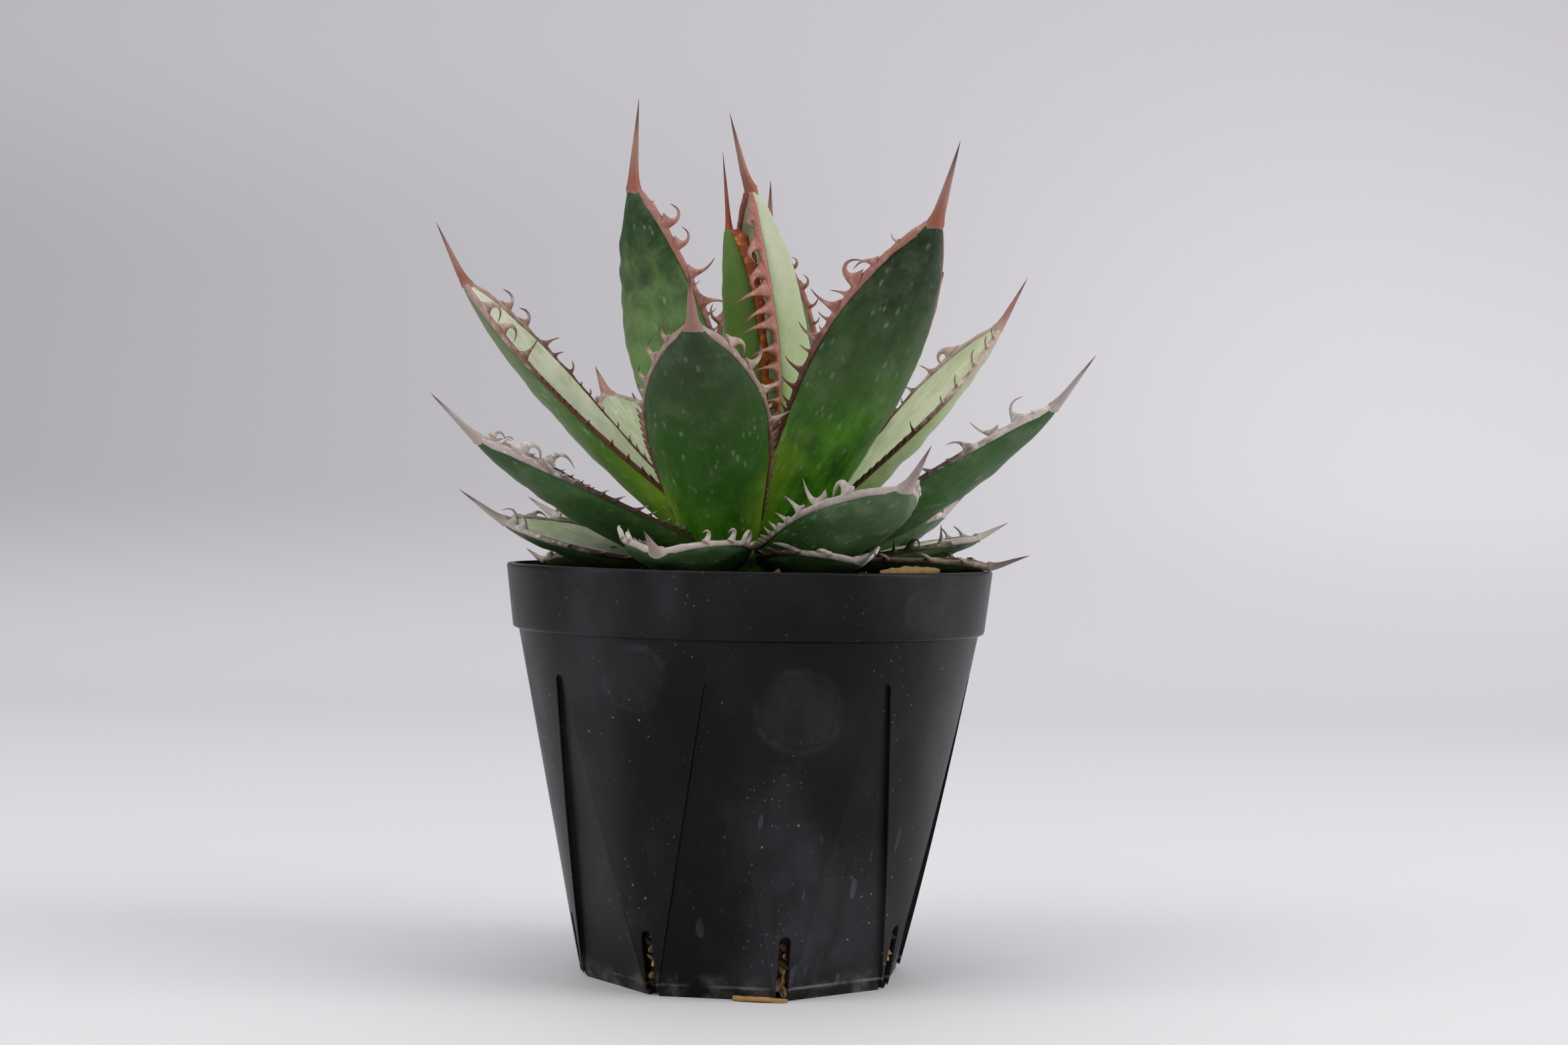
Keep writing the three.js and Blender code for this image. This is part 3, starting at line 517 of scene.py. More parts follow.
class Skin(Enum):
    """The greens that the leaves come in. Some are lit and shaded copies of one skin: LIT is painted as
    brightly lit, and the near-black feet of OUTER and NEAR are painted shade.
    """

    INNER = SkinFinish(back="3e5c30", back_high="1e2e18", foot="62ac06", foot_reach=0.72, bloom=0.16)
    FRONT = SkinFinish(back="2c541c", foot="4a8206", foot_reach=0.6, bloom=0.12)
    TALL = SkinFinish(
        back="6c8c52", back_high="203c1e", foot="86a84c", foot_deep="5a7d38", bloom=0.22, dashes=1.0,
    )
    SIDE = SkinFinish(
        back="4f7436", back_high="6a7a58", foot="8cab34", foot_deep="527f24", face="e0e4ce",
        face_low="b4c294", foot_reach=0.7, bloom=0.2, dashes=0.9,
    )
    # Painted light: a lit copy of the skin, its back nearly as pale as a face.
    LIT = SkinFinish(
        back="b3c198", back_high="aab694", foot="b2c47c", foot_deep="9ab46c", face_low="aabc8c", bloom=0.2,
    )
    # Painted shade: the foot's greens, near black, stand for the shade under the leaves above.
    OUTER = SkinFinish(
        back="3f6a34", back_high="38522f", foot="1e3608", foot_deep="0d1a04", painted_glow="3c5c18", face="e0e6cc",
        face_low="b4c88a", foot_reach=0.95, bloom=0.2,
    )
    # Painted shade: the foot's greens, near black, stand for the shade under the leaves above.
    NEAR = SkinFinish(
        back="335a28", back_high="4c6644", foot="1c360a", foot_deep="0e1c05", painted_glow="3c5c18",
        foot_reach=0.7, bloom=0.25,
    )
    PALE = SkinFinish(
        back="a9b68f", back_high="b6bda6", foot="93b064", foot_deep="789c50", bloom=0.25, dashes=0.3,
    )
    GREY = SkinFinish(back="7d8c70", face="8b9880", face_low="6d8458", bloom=0.25, dashes=0.2)
    FAR = SkinFinish(back="6a8054", face="9fa88c", face_low="84975c", bloom=0.25, dashes=0.3)
    BUD = SkinFinish(back="66863f", back_high="5d7a3e", face="8aa656", bloom=0.1, dashes=0.2)


@dataclass(frozen=True)
class PlasticFinish:
    """Black moulded plastic with dust, smears, pale upright columns of dust with a painted highlight, specks
    and fine scratches.

    rings are dried drops: across, up and radius in mm. wiped are upright pale columns, dust
    with a painted highlight: across, half width and foot in mm. fade is the height over which a column
    begins.
    """

    colour: str = "040405"
    dust: str = "6c6c76"
    speck: str = "a39a90"
    grit: str = "8f8f94"
    scuff: str = "9a989c"
    silt: str = "8a8780"
    fade: float = 14.0
    rings: tuple[tuple[float, float, float], ...] = ((-22.5, 66.0, 6.3), (36.0, 80.0, 3.6), (11.0, 60.0, 8.0))
    dust_and_highlight_columns: tuple[tuple[float, float, float], ...] = ((-31.0, 9.0, 4.0), (40.0, 9.0, 30.0), (-16.0, 6.0, 70.0))

    def material(self, name: str) -> bpy.types.Material:
        """Builds the plastic and gives its material.

        The rings and the columns are on the front only; the columns are dust with a painted highlight. A ring
        is dusty where the distance from its middle, sqrt(dx^2 + dz^2), is near its radius, and fainter
        inside.
        """
        t = Tree(name)
        place = t.place()
        x, y, z = t.parts(place)
        front = y.step(-0.01, -0.02)
        cloud = t.noise(place, 38.0, 5.0, 0.62)
        wide = t.noise(place, 11.0, 3.0)
        smear = t.noise(t.stretch(place, (1.0, 1.0, 0.5)), 60.0, 5.0, 0.7)
        grain = t.noise(place, 900.0, 2.0)
        dust = (cloud * 0.6 + wide * 0.5).step(0.5, 0.78) * smear.step(0.3, 0.75)
        colour = t.mix(dust * 0.15, self.colour, self.dust)
        haze = (t.noise(place, 24.0, 2.0) * 0.6 + smear * 0.4).step(0.42, 0.68)
        colour = t.mix(haze * 0.05, colour, self.dust)
        ring = t.noise(place, 16.0).step(0.56, 0.7) * 0.5
        broken = (cloud * 0.5 + smear * 0.5).step(0.42, 0.6) * 0.7
        for at_x, at_z, radius in self.rings:
            off_x, off_z = x - at_x * MM, z - at_z * MM
            reach = (off_x * off_x + off_z * off_z) ** 0.5
            wobble = reach - radius * MM + (cloud - 0.5) * 0.006
            ring = ring + abs(wobble).step(0.0013, 0.0) * front * broken
            ring = ring + wobble.step(0.0, -0.002) * front * 0.3
        colour = t.mix(ring * smear.step(0.25, 0.6) * 0.2, colour, self.dust)
        # Pale upright columns on the front, where the lamps' upright highlights fall: dust with a painted
        # highlight.
        for at_x, half, low in self.dust_and_highlight_columns:
            column = abs(x - at_x * MM + (cloud - 0.5) * 0.01).step(half * MM, 0.0) * front
            column = column * z.step(low * MM, (low + self.fade) * MM) * cloud.step(0.2, 0.6)
            colour = t.mix(column * 0.11, colour, self.dust)
        specks = t.cells(place, 320.0).step(0.1, 0.04) * t.noise(place, 45.0).step(0.53, 0.6)
        colour = t.mix(specks * 0.6, colour, self.speck)
        fine = t.cells(place, 620.0).step(0.16, 0.06) * t.noise(place, 70.0, 3.0).step(0.48, 0.62)
        colour = t.mix(fine * 0.3, colour, self.grit)
        scratch = t.noise(t.stretch(place, (1, 1, 0.12), (0.3, 0.1, 0)), 420.0, 1.0).step(0.7, 0.74)
        colour = t.mix(scratch * wide.step(0.5, 0.6) * 0.2, colour, self.dust)
        scuff = abs(z - 0.0025).step(0.0005, 0.0) * t.noise(place, 90.0, 3.0).step(0.42, 0.6)
        colour = t.mix(scuff * 0.4, colour, self.scuff)
        foot = z.step(0.006, 0.0015) * t.noise(place, 130.0, 4.0).step(0.45, 0.7)
        colour = t.mix(foot * 0.35, colour, self.silt)
        rough = 0.34 + dust * 0.3 + haze * 0.1 + ring * 0.1 + foot * 0.2
        return t.finish(
            Base_Color=colour,
            Roughness=rough,
            Normal=t.bump(grain * 0.4 + wide * 1.2, 0.12, 0.6),
            Specular_IOR_Level=0.15,
        )


@dataclass(frozen=True)
class EarthFinish:
    """Potting mix, bark or husk, told apart by a tint that each chip carries."""

    dark: str = "2b211a"
    light: str = "8f7a62"
    straw: str = "b3935f"
    rust: str = "8a4a20"

    def material(self, name: str) -> bpy.types.Material:
        """Builds the mix: mark's first number is a chip's tint, its second one its fibre."""
        t = Tree(name)
        tint, fibre, _ = t.parts(t.attribute("mark"))
        flat = t.attribute("flat")
        grain = t.noise(flat, 1.3, 5.0, 0.7)
        thread = t.noise(t.stretch(flat, (0.15, 1, 1)), 2.4, 4.0)
        colour = t.mix((tint + (grain - 0.5) * 0.5).step(0.2, 0.8), self.dark, self.light)
        colour = t.mix((fibre * (0.6 + thread)).step(0.3, 0.9), colour, self.straw)
        colour = t.mix(thread.step(0.56, 0.7) * fibre * 0.7, colour, self.rust)
        return t.finish(
            Base_Color=colour,
            Roughness=0.9,
            Normal=t.bump(grain * 0.6 + thread * 0.4, 0.6),
            Specular_IOR_Level=0.2,
        )


@dataclass(frozen=True)
class SweepFinish:
    """Pale card of the floor and the backdrop, with painted shade and painted light on the backdrop."""

    colour: str = "dcdbe2"
    shade: str = "a4a3aa"
    shine: str = "f4f3fa"
    mottle: str = "c8c8ce"

    def material(self, name: str) -> bpy.types.Material:
        """Builds the card, faintly mottled, with painted shade over the backdrop, deepest at the left, and
        painted light low at its right.
        """
        t = Tree(name)
        place = t.place()
        x, _, z = t.parts(place)
        mottle = t.noise(place, 3.0, 4.0)
        behind = z.step(0.0, 0.12)
        colour = t.mix((mottle - 0.5) * 0.1, self.colour, self.mottle)
        left = x.step(0.5, -0.9) * (0.4 + 0.6 * z.step(0.45, 0.25))
        right = x.step(-0.1, 0.45) * z.step(0.6, 0.1)
        # Painted shade over the backdrop, deeper at the left, then painted light low at the right.
        colour = t.mix(behind * (0.27 + 0.5 * left), colour, self.shade)
        colour = t.mix(behind * right * 0.6, colour, self.shine)
        return t.finish(Base_Color=colour, Roughness=0.65, Specular_IOR_Level=0.3)


# ---------------------------------------------------------------- leaves
@dataclass(frozen=True)
class Stem:
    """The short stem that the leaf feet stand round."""

    x: float = 2.0
    y: float = 0.0
    heights: tuple[float, ...] = (66.4, 76, 86, 91, 98, 104, 109, 111)
    radii: tuple[float, ...] = (10, 16.2, 16.2, 14.2, 10.5, 7.5, 4.5, 0)
    ribs: int = 13
    rows: int = 60
    sides: int = 72

    def radius(self, height: Array) -> Array:
        """The stem's radius at a height, straight between its named rows."""
        return np.interp(height, self.heights, self.radii)

    def build(self) -> None:
        """Makes the stem: its profile turned, with ribs where the leaf feet clasp it."""
        height = np.linspace(self.heights[0], self.heights[-1], self.rows)[:, None]
        angle = around(self.sides)
        rib = 0.3 * np.sin(self.ribs * angle + height * 0.3) * smooth(height, 70, 80)
        radius = np.maximum(self.radius(height) - 0.3 + rib, 0.3)
        points = vectors(self.x + radius * np.cos(angle), self.y + radius * np.sin(angle), height)
        shell = Shell()
        shell.add_tubes(points, vectors(0.3, (height - 66) / 400, -1), points)
        settle(shell.make("stem_core", SkinFinish(foot="86a53a").material("stem_skin")), "stem")


@dataclass(frozen=True)
class Tooth:
    """One tooth of a margin.

    s: its place along the leaf. length: in mm. curl: degrees that it turns through, from
    straight out. lean: degrees that it starts towards the hook's side. rise: how steeply
    it stands up off the face, in mm for each mm outwards.
    """

    s: float
    length: float
    curl: float = 70.0
    lean: float = 0.0
    rise: float = 0.0


def thorns(first: float, last: float, count: int, low: float, high: float) -> tuple[Tooth, ...]:
    """Small plain teeth evenly spaced from first to last along a leaf, growing from low to high mm."""
    shares = [i / max(1, count - 1) for i in range(count)]
    return tuple(
        Tooth(lerp(first, last, k), lerp(low, high, k), curl=35, lean=25 + 12 * math.sin(7.3 * i))
        for i, k in enumerate(shares)
    )


@dataclass(frozen=True)
class LeafRow:
    """One leaf: where it stands, how it bends and what grows on its margins.

    az is its heading in degrees (0 = +X, -90 = the front), foot and tip its rise above
    level at its foot and its tip. width is half of the unrolled blade at its widest, and
    fold half the angle that its trough turns through. at, r and z say where its midrib
    starts round, out from and above the stem. The blade is rolled about its midrib by turn
    degrees, and by twist more at its tip, which lifts its plus side. The spine bends by
    lift degrees more. rim widens the horny margins and dents deepens the cross folds. hook
    is 1 where the teeth curl to the tip and -1 to the foot. plus and minus are the big
    teeth of its two margins, plus being the left one as seen from the tip on its face.
    """

    name: str
    az: float
    foot: float
    tip: float
    length: float
    width: float = 13.0
    fold: float = 40.0
    r: float = 4.0
    z: float = 0.0
    at: float | None = None
    turn: float = 0.0
    twist: float = 0.0
    spine: float = 12.0
    lift: float = 16.0
    hook: int = -1
    rim: float = 1.0
    dents: float = 0.3
    horn: Horn = Horn.WHITE
    skin: Skin = Skin.OUTER
    plus: tuple[Tooth, ...] | None = None
    minus: tuple[Tooth, ...] | None = None


@dataclass
class Leaf:
    """The shape of one leaf, worked out from its row.

    widest is a share of the leaf's length, neck and tip_width are shares of its widest half
    width. thick_foot, thick_tip and thick_edge are the blade's thickness in mm at both ends
    of the midrib and at the margins. steps is the number of straight pieces of the midrib,
    apart the distance in mm between two leaves' unrolled places, sunk how far the margins
    lie off the middle surface and clear how far a leaf stays above the pot's lip.
    """

    row: LeafRow
    number: int
    stem: Stem
    blade_rows: int = 120
    blade_sides: int = 44
    margin_rows: int = 260
    margin_sides: int = 10
    tooth_rows: int = 18
    tooth_sides: int = 8
    spine_rows: int = 40
    spine_sides: int = 16
    widest: float = 0.58
    neck: float = 0.66
    tip_width: float = 0.1
    thick_foot: float = 6.4
    thick_tip: float = 1.5
    thick_edge: float = 1.1
    steps: int = 40
    apart: float = 70.0
    sunk: float = -0.22
    clear: float = 0.35
    midrib: Array = field(init=False)
    start: float = field(init=False)

    def __post_init__(self) -> None:
        """Lays the midrib in equal steps, each in the direction that the leaf has there."""
        row = self.row
        at = math.radians(row.az if row.at is None else row.at)
        x, y = row.r * math.cos(at), row.r * math.sin(at)
        start = np.array([self.stem.x + x, self.stem.y + y, RIM_TOP + row.z])
        s = np.arange(1, self.steps + 1) / self.steps
        moves = self.directions(s)[0] * row.length / self.steps
        self.midrib = np.concatenate([start[None], start + np.cumsum(moves, axis=0)])
        out = np.hypot(self.midrib[:, 0] - self.stem.x, self.midrib[:, 1] - self.stem.y)
        outside = out > self.stem.radius(self.midrib[:, 2]) - 3
        self.start = float(np.argmax(outside)) / self.steps

    def directions(self, s: Array) -> tuple[Array, Array, Array]:
        """Unit vectors at s: along the midrib, across the blade and up out of its face."""
        az = math.radians(self.row.az)
        el = np.radians(lerp(self.row.foot, self.row.tip, s))
        cos, sin = math.cos(az), math.sin(az)
        along = vectors(np.cos(el) * cos, np.cos(el) * sin, np.sin(el))
        level = vectors(sin, -cos, 0 * el)
        upright = vectors(-cos * np.sin(el), -sin * np.sin(el), np.cos(el))
        roll = np.radians(self.row.turn + self.row.twist * s)[..., None]
        across = level * np.cos(roll) + upright * np.sin(roll)
        up = upright * np.cos(roll) - level * np.sin(roll)
        return along, across, up

    def half_width(self, s: Array) -> Array:
        """Half of the unrolled width: a sine from the neck to the widest place, then a parabola."""
        rising = lerp(self.neck, 1, np.sin(np.pi / 2 * np.clip(s / self.widest, 0, 1)) ** 2)
        u = np.clip((s - self.widest) / (1 - self.widest), 0, 1)
        return self.row.width * np.where(s < self.widest, rising, lerp(self.tip_width, 1, 1 - u * u))

    def thickness(self, s: Array) -> Array:
        """Thickness at the midrib, which falls from foot to tip as (1 - s)^0.6."""
        return lerp(self.thick_tip, self.thick_foot, np.clip(1 - s, 0, 1) ** 0.6)

    def band(self, s: Array) -> Array:
        """Width of the horny margin outside the blade: 0.35 mm low down and 1.25 mm at the tip."""
        return (0.35 + 0.9 * np.clip(s, 0, 1) ** 3) * self.row.rim

    def lay(self, across: Array, along: Array, lift: Array) -> Array:
        """Places of the unrolled leaf in space.

        The blade turns about its midrib on a circle whose arc is the half width and whose
        angle is the fold. Past its edge the surface runs straight on, and past its tip it
        runs on in the tip's direction. Where it crosses the pot's rim, between 44 and 57 mm
        from the axis, nothing dips below the lip.

        Args:
            across: mm from the midrib, positive on the plus side.
            along: mm from the foot.
            lift: mm off the middle surface, towards the face.

        Returns:
            Positions in mm, one for each value.
        """
        s = np.clip(along / self.row.length, 0, 1)
        width = self.half_width(s)
        arc = np.clip(across, -width, width)
        radius = width / math.radians(self.row.fold)
        angle = (arc / radius)[..., None]
        forward, side, up = self.directions(s)
        outward = side * np.cos(angle) + up * np.sin(angle)
        normal = up * np.cos(angle) - side * np.sin(angle)
        knots = np.arange(self.steps + 1)
        middle = vectors(*(np.interp(s * self.steps, knots, self.midrib[:, k]) for k in range(3)))
        laid = (
            middle
            + side * radius[..., None] * np.sin(angle)
            + up * radius[..., None] * (1 - np.cos(angle))
            + normal * lift[..., None]
            + outward * (across - arc)[..., None]
            + forward * (along - s * self.row.length)[..., None]
        )
        out = np.hypot(laid[..., 0], laid[..., 1])
        over_rim = smooth(out, 43.5, 46.5) * smooth(-out, -57, -54)
        laid[..., 2] = np.maximum(laid[..., 2], (RIM_TOP + self.clear) * over_rim)
        return laid

    def flat(self, across: Array, along: Array, lift: Array) -> Array:
        """Unrolled places for the finish, set apart from those of the other leaves."""
        return vectors(across + self.apart * self.number, along, 3 * lift)

    def blade(self) -> Shell:
        """The green blade: a lens section swept along the leaf.

        Round the section the place across is cos(t), the face is where sin(t) > 0, and the
        thickness falls off to the margins as 1 - |v|^1.6, three tenths of it on the face's
        side. The last of it is rounded by sin(t). Low waves make the surface uneven, and
        cross folds dent its upper part.
        """
        row = self.row
        s = np.linspace(self.start, 1, self.blade_rows)[:, None]
        t = around(self.blade_sides)
        v = np.cos(t)
        thick = lerp(self.thick_edge, self.thickness(s), 1 - np.abs(v) ** 1.6)
        rounding = np.clip(np.abs(np.sin(t)) / 0.33, 0, 1) ** 0.7
        share = np.where(np.sin(t) > 0, 0.3, -0.7)
        across = v * self.half_width(s)
        along = s * row.length + 0 * v
        place = vectors(across + self.apart * self.number, along, 9 * np.sin(t))
        uneven = 0.3 * waves(place, 17, 5 + self.number) + 0.09 * waves(place, 6, 50 + self.number)
        dents = 0.45 * smooth(s, 0.35, 0.6) * smooth(-s, -0.96, -0.85) * (1 - v * v)
        uneven = uneven + dents * waves(place * np.array([0.5, 1, 0.3]), 12, 70 + self.number) * row.dents
        lift = share * thick * rounding + uneven * rounding * smooth(1 - s, 0.0, 0.2)
        shell = Shell()
        points = self.lay(across, along, lift)
        shell.add_tubes(points, vectors(v, s, np.sin(t)), self.flat(across, along, lift))
        return shell

    def margin(self, shell: Shell, side: int, teeth: Sequence[Tooth]) -> None:
        """Adds one horny margin: a flat rounded bead over the blade's edge.

        It swells by a bell curve round the root of each tooth, so that the edge is
        scalloped between them, and widens over the blade towards the tip.

        Args:
            shell: what it is added to.
            side: 1 or -1.
            teeth: the teeth of this margin.
        """
        length = self.row.length
        s = np.linspace(max(0.1, self.start + 0.03), 1, self.margin_rows)[:, None]
        t = around(self.margin_sides)
        swell = np.zeros_like(s)
        for tooth in teeth:
            away = (s - tooth.s) * length / (0.4 * tooth.length + 0.3)
            swell = np.maximum(swell, 0.06 * tooth.length * np.exp(-(away**2)))
        uneven = waves(vectors(s * length, 9.0 * side), 6, 90 + self.number)
        outer = 0.16 + self.band(s) * (1 + 0.16 * uneven) + swell
        outer *= 1 - 0.45 * smooth(s, 0.95, 1.0)
        dome = np.clip((s - 0.9) / 0.085, 0, 1)
        inner = 0.2 + self.half_width(s) * (1 - np.sqrt(1 - dome**2)) + 0.3 * swell
        middle = self.half_width(s) + (outer - inner) / 2
        across = side * np.maximum(middle + (outer + inner) / 2 * np.cos(t), 0.0)
        along = s * length + 0 * t
        lift = self.sunk + (0.5 + 0.18 * s**2) * np.sin(t) * (1 - 0.25 * np.cos(t))
        shell.add_tubes(self.lay(across, along, lift), vectors(0, s, 0), self.flat(across, along, lift))

    def teeth(self, shell: Shell, side: int, teeth: Sequence[Tooth]) -> None:
        """Adds the teeth of one margin as bent, tapering tubes.

        A tooth's middle line starts inside the margin and turns by its curl, faster towards
        its tip. Its width falls from a wide flare at the root to a point. The plane that it
        curls in is tipped up from the blade's edge by its rise.

        Args:
            shell: what they are added to.
            side: 1 or -1.
            teeth: the teeth of this margin.
        """
        if not teeth:
            return
        table = np.array([(x.s, x.length, x.curl, x.lean, x.rise) for x in teeth])[:, :, None]
        s, length, curl, lean, rise = (table[:, k] for k in range(5))
        u = np.linspace(0, 1, self.tooth_rows)[None, :]
        heading = self.row.hook * np.radians(lean + (curl - lean) * smooth(u, 0.12, 0.95))
        step = length / (self.tooth_rows - 1)
        out = np.cumsum(np.cos(heading) * step, axis=1) - step
        forward = np.cumsum(np.sin(heading) * step, axis=1)
        root = self.half_width(s) + self.band(s) * 0.8 + 0.1
        half = 0.078 * length * (1 - u) ** 0.9 + (0.22 * length + 0.08) * np.exp(-((u / 0.16) ** 1.15)) + 0.03
        thin = (0.42 + 0.03 * length) * (1 - u) ** 0.7 + 0.04
        t = around(self.tooth_sides)[0]
        level = (1 / np.hypot(1, rise))[..., None]
        steep = rise[..., None] * level
        outward = np.maximum(out[..., None] - (np.sin(heading) * half)[..., None] * np.cos(t), -0.45)
        sideways = thin[..., None] * np.sin(t)
        across = side * (root[..., None] + outward * level - sideways * steep)
        along = (forward + s * self.row.length)[..., None] + (np.cos(heading) * half)[..., None] * np.cos(t)
        lift = self.sunk + outward * steep + sideways * level
        mark = vectors(u[..., None], s[..., None], 0)
        shell.add_tubes(self.lay(across, along, lift), mark, self.flat(across, along, lift))

    def spine(self, shell: Shell) -> None:
        """Adds the terminal spine: a tapering rod that grows out of both margins.

        Its radius is a flare exp(-u / 0.07) on a straight taper, its section is flattened
        to 0.8, and a shallow groove runs along its face near the root.
        """
        row = self.row
        behind = 0.16
        u = np.concatenate([np.linspace(-behind, 0, 9)[:-1], np.linspace(0, 1, self.spine_rows)])[:, None]
        rise = np.radians(row.tip + row.lift * np.clip(1.6 * u, 0, 0.55))
        az = math.radians(row.az)
        heading = np.concatenate(
            [np.cos(rise) * math.cos(az), np.cos(rise) * math.sin(az), np.sin(rise)], axis=1
        )
        along, _, up = self.directions(np.ones(1))
        steps = heading * np.diff(u[:, 0], prepend=u[0, 0])[:, None] * row.spine
        base = self.midrib[-1] + along[0] * 0.3
        middle = base + np.cumsum(steps, axis=0) + heading[0] * u[0, 0] * row.spine
        foot = float(self.half_width(np.ones(1))[0]) + 0.5
        taper = 0.25 * np.exp(-np.clip(u, 0, 1) / 0.07) + 0.75 * (1 - np.clip(u, 0, 1)) + 0.015
        back = np.clip(-u / behind, 0, 1)
        wide = foot * (taper + 0.3 * back)
        high = foot * 0.8 * taper * (1 - 0.7 * back)
        t = around(self.spine_sides)
        groove = 1 - 0.35 * np.exp(-(((t - np.pi / 2) / 0.45) ** 2)) * smooth(0.6 - u, 0, 0.3)
        side_way = np.cross(heading, up[0])
        side_way /= np.linalg.norm(side_way, axis=1, keepdims=True)
        lift_way = np.cross(side_way, heading)
        points = (
            middle[:, None]
            + side_way[:, None] * (wide * np.cos(t))[..., None]
            + lift_way[:, None] * (high * np.sin(t) * groove)[..., None]
        )
        mark = vectors(np.clip(u, 0, 1), 1, smooth(u, -0.1, 0.05))
        flat = self.flat(wide * np.cos(t), row.length + u * row.spine, high * np.sin(t))
        shell.add_tubes(points, mark, flat)

    def drawn_teeth(self, side: int) -> tuple[Tooth, ...]:
        """Teeth for a margin that isn't listed: large towards the tip, small lower down."""
        draw = np.random.RandomState(100 + 2 * self.number + (side > 0))
        found = []
        s = 0.94 - 0.04 * draw.uniform()
        while s > 0.45:
            size = min(1.0, max(0.3, (s - 0.25) / 0.4)) * (0.75 if s > 0.9 else 1)
            length, curl, rise = draw.uniform(4.5, 6.2) * size, draw.uniform(70, 135), draw.uniform(0, 0.3)
            found.append(Tooth(s, length, curl, rise=rise))
            s -= draw.uniform(6.0, 9.0) * (0.5 + 0.5 * size) / self.row.length
        count = int((s - 0.2) * self.row.length / 3.2)
        return (*found, *thorns(s, max(0.2, self.start + 0.1), count, 2.0, 1.0))

    def build(self) -> None:
        """Makes the leaf's two pieces and dresses them."""
        row = self.row
        name = f"leaf_{row.name}"
        skin = row.skin.value.material(f"{name}_skin")
        settle(self.blade().make(f"{name}_skin", skin), f"{name}_blade")
        horn = Shell()
        for side, given in ((1, row.plus), (-1, row.minus)):
            teeth = self.drawn_teeth(side) if given is None else given
            self.margin(horn, side, teeth)
            self.teeth(horn, side, teeth)
        self.spine(horn)
        finish = row.horn.value.material(f"{name}_horn")
        settle(horn.make(f"{name}_horn", finish), f"{name}_edge")


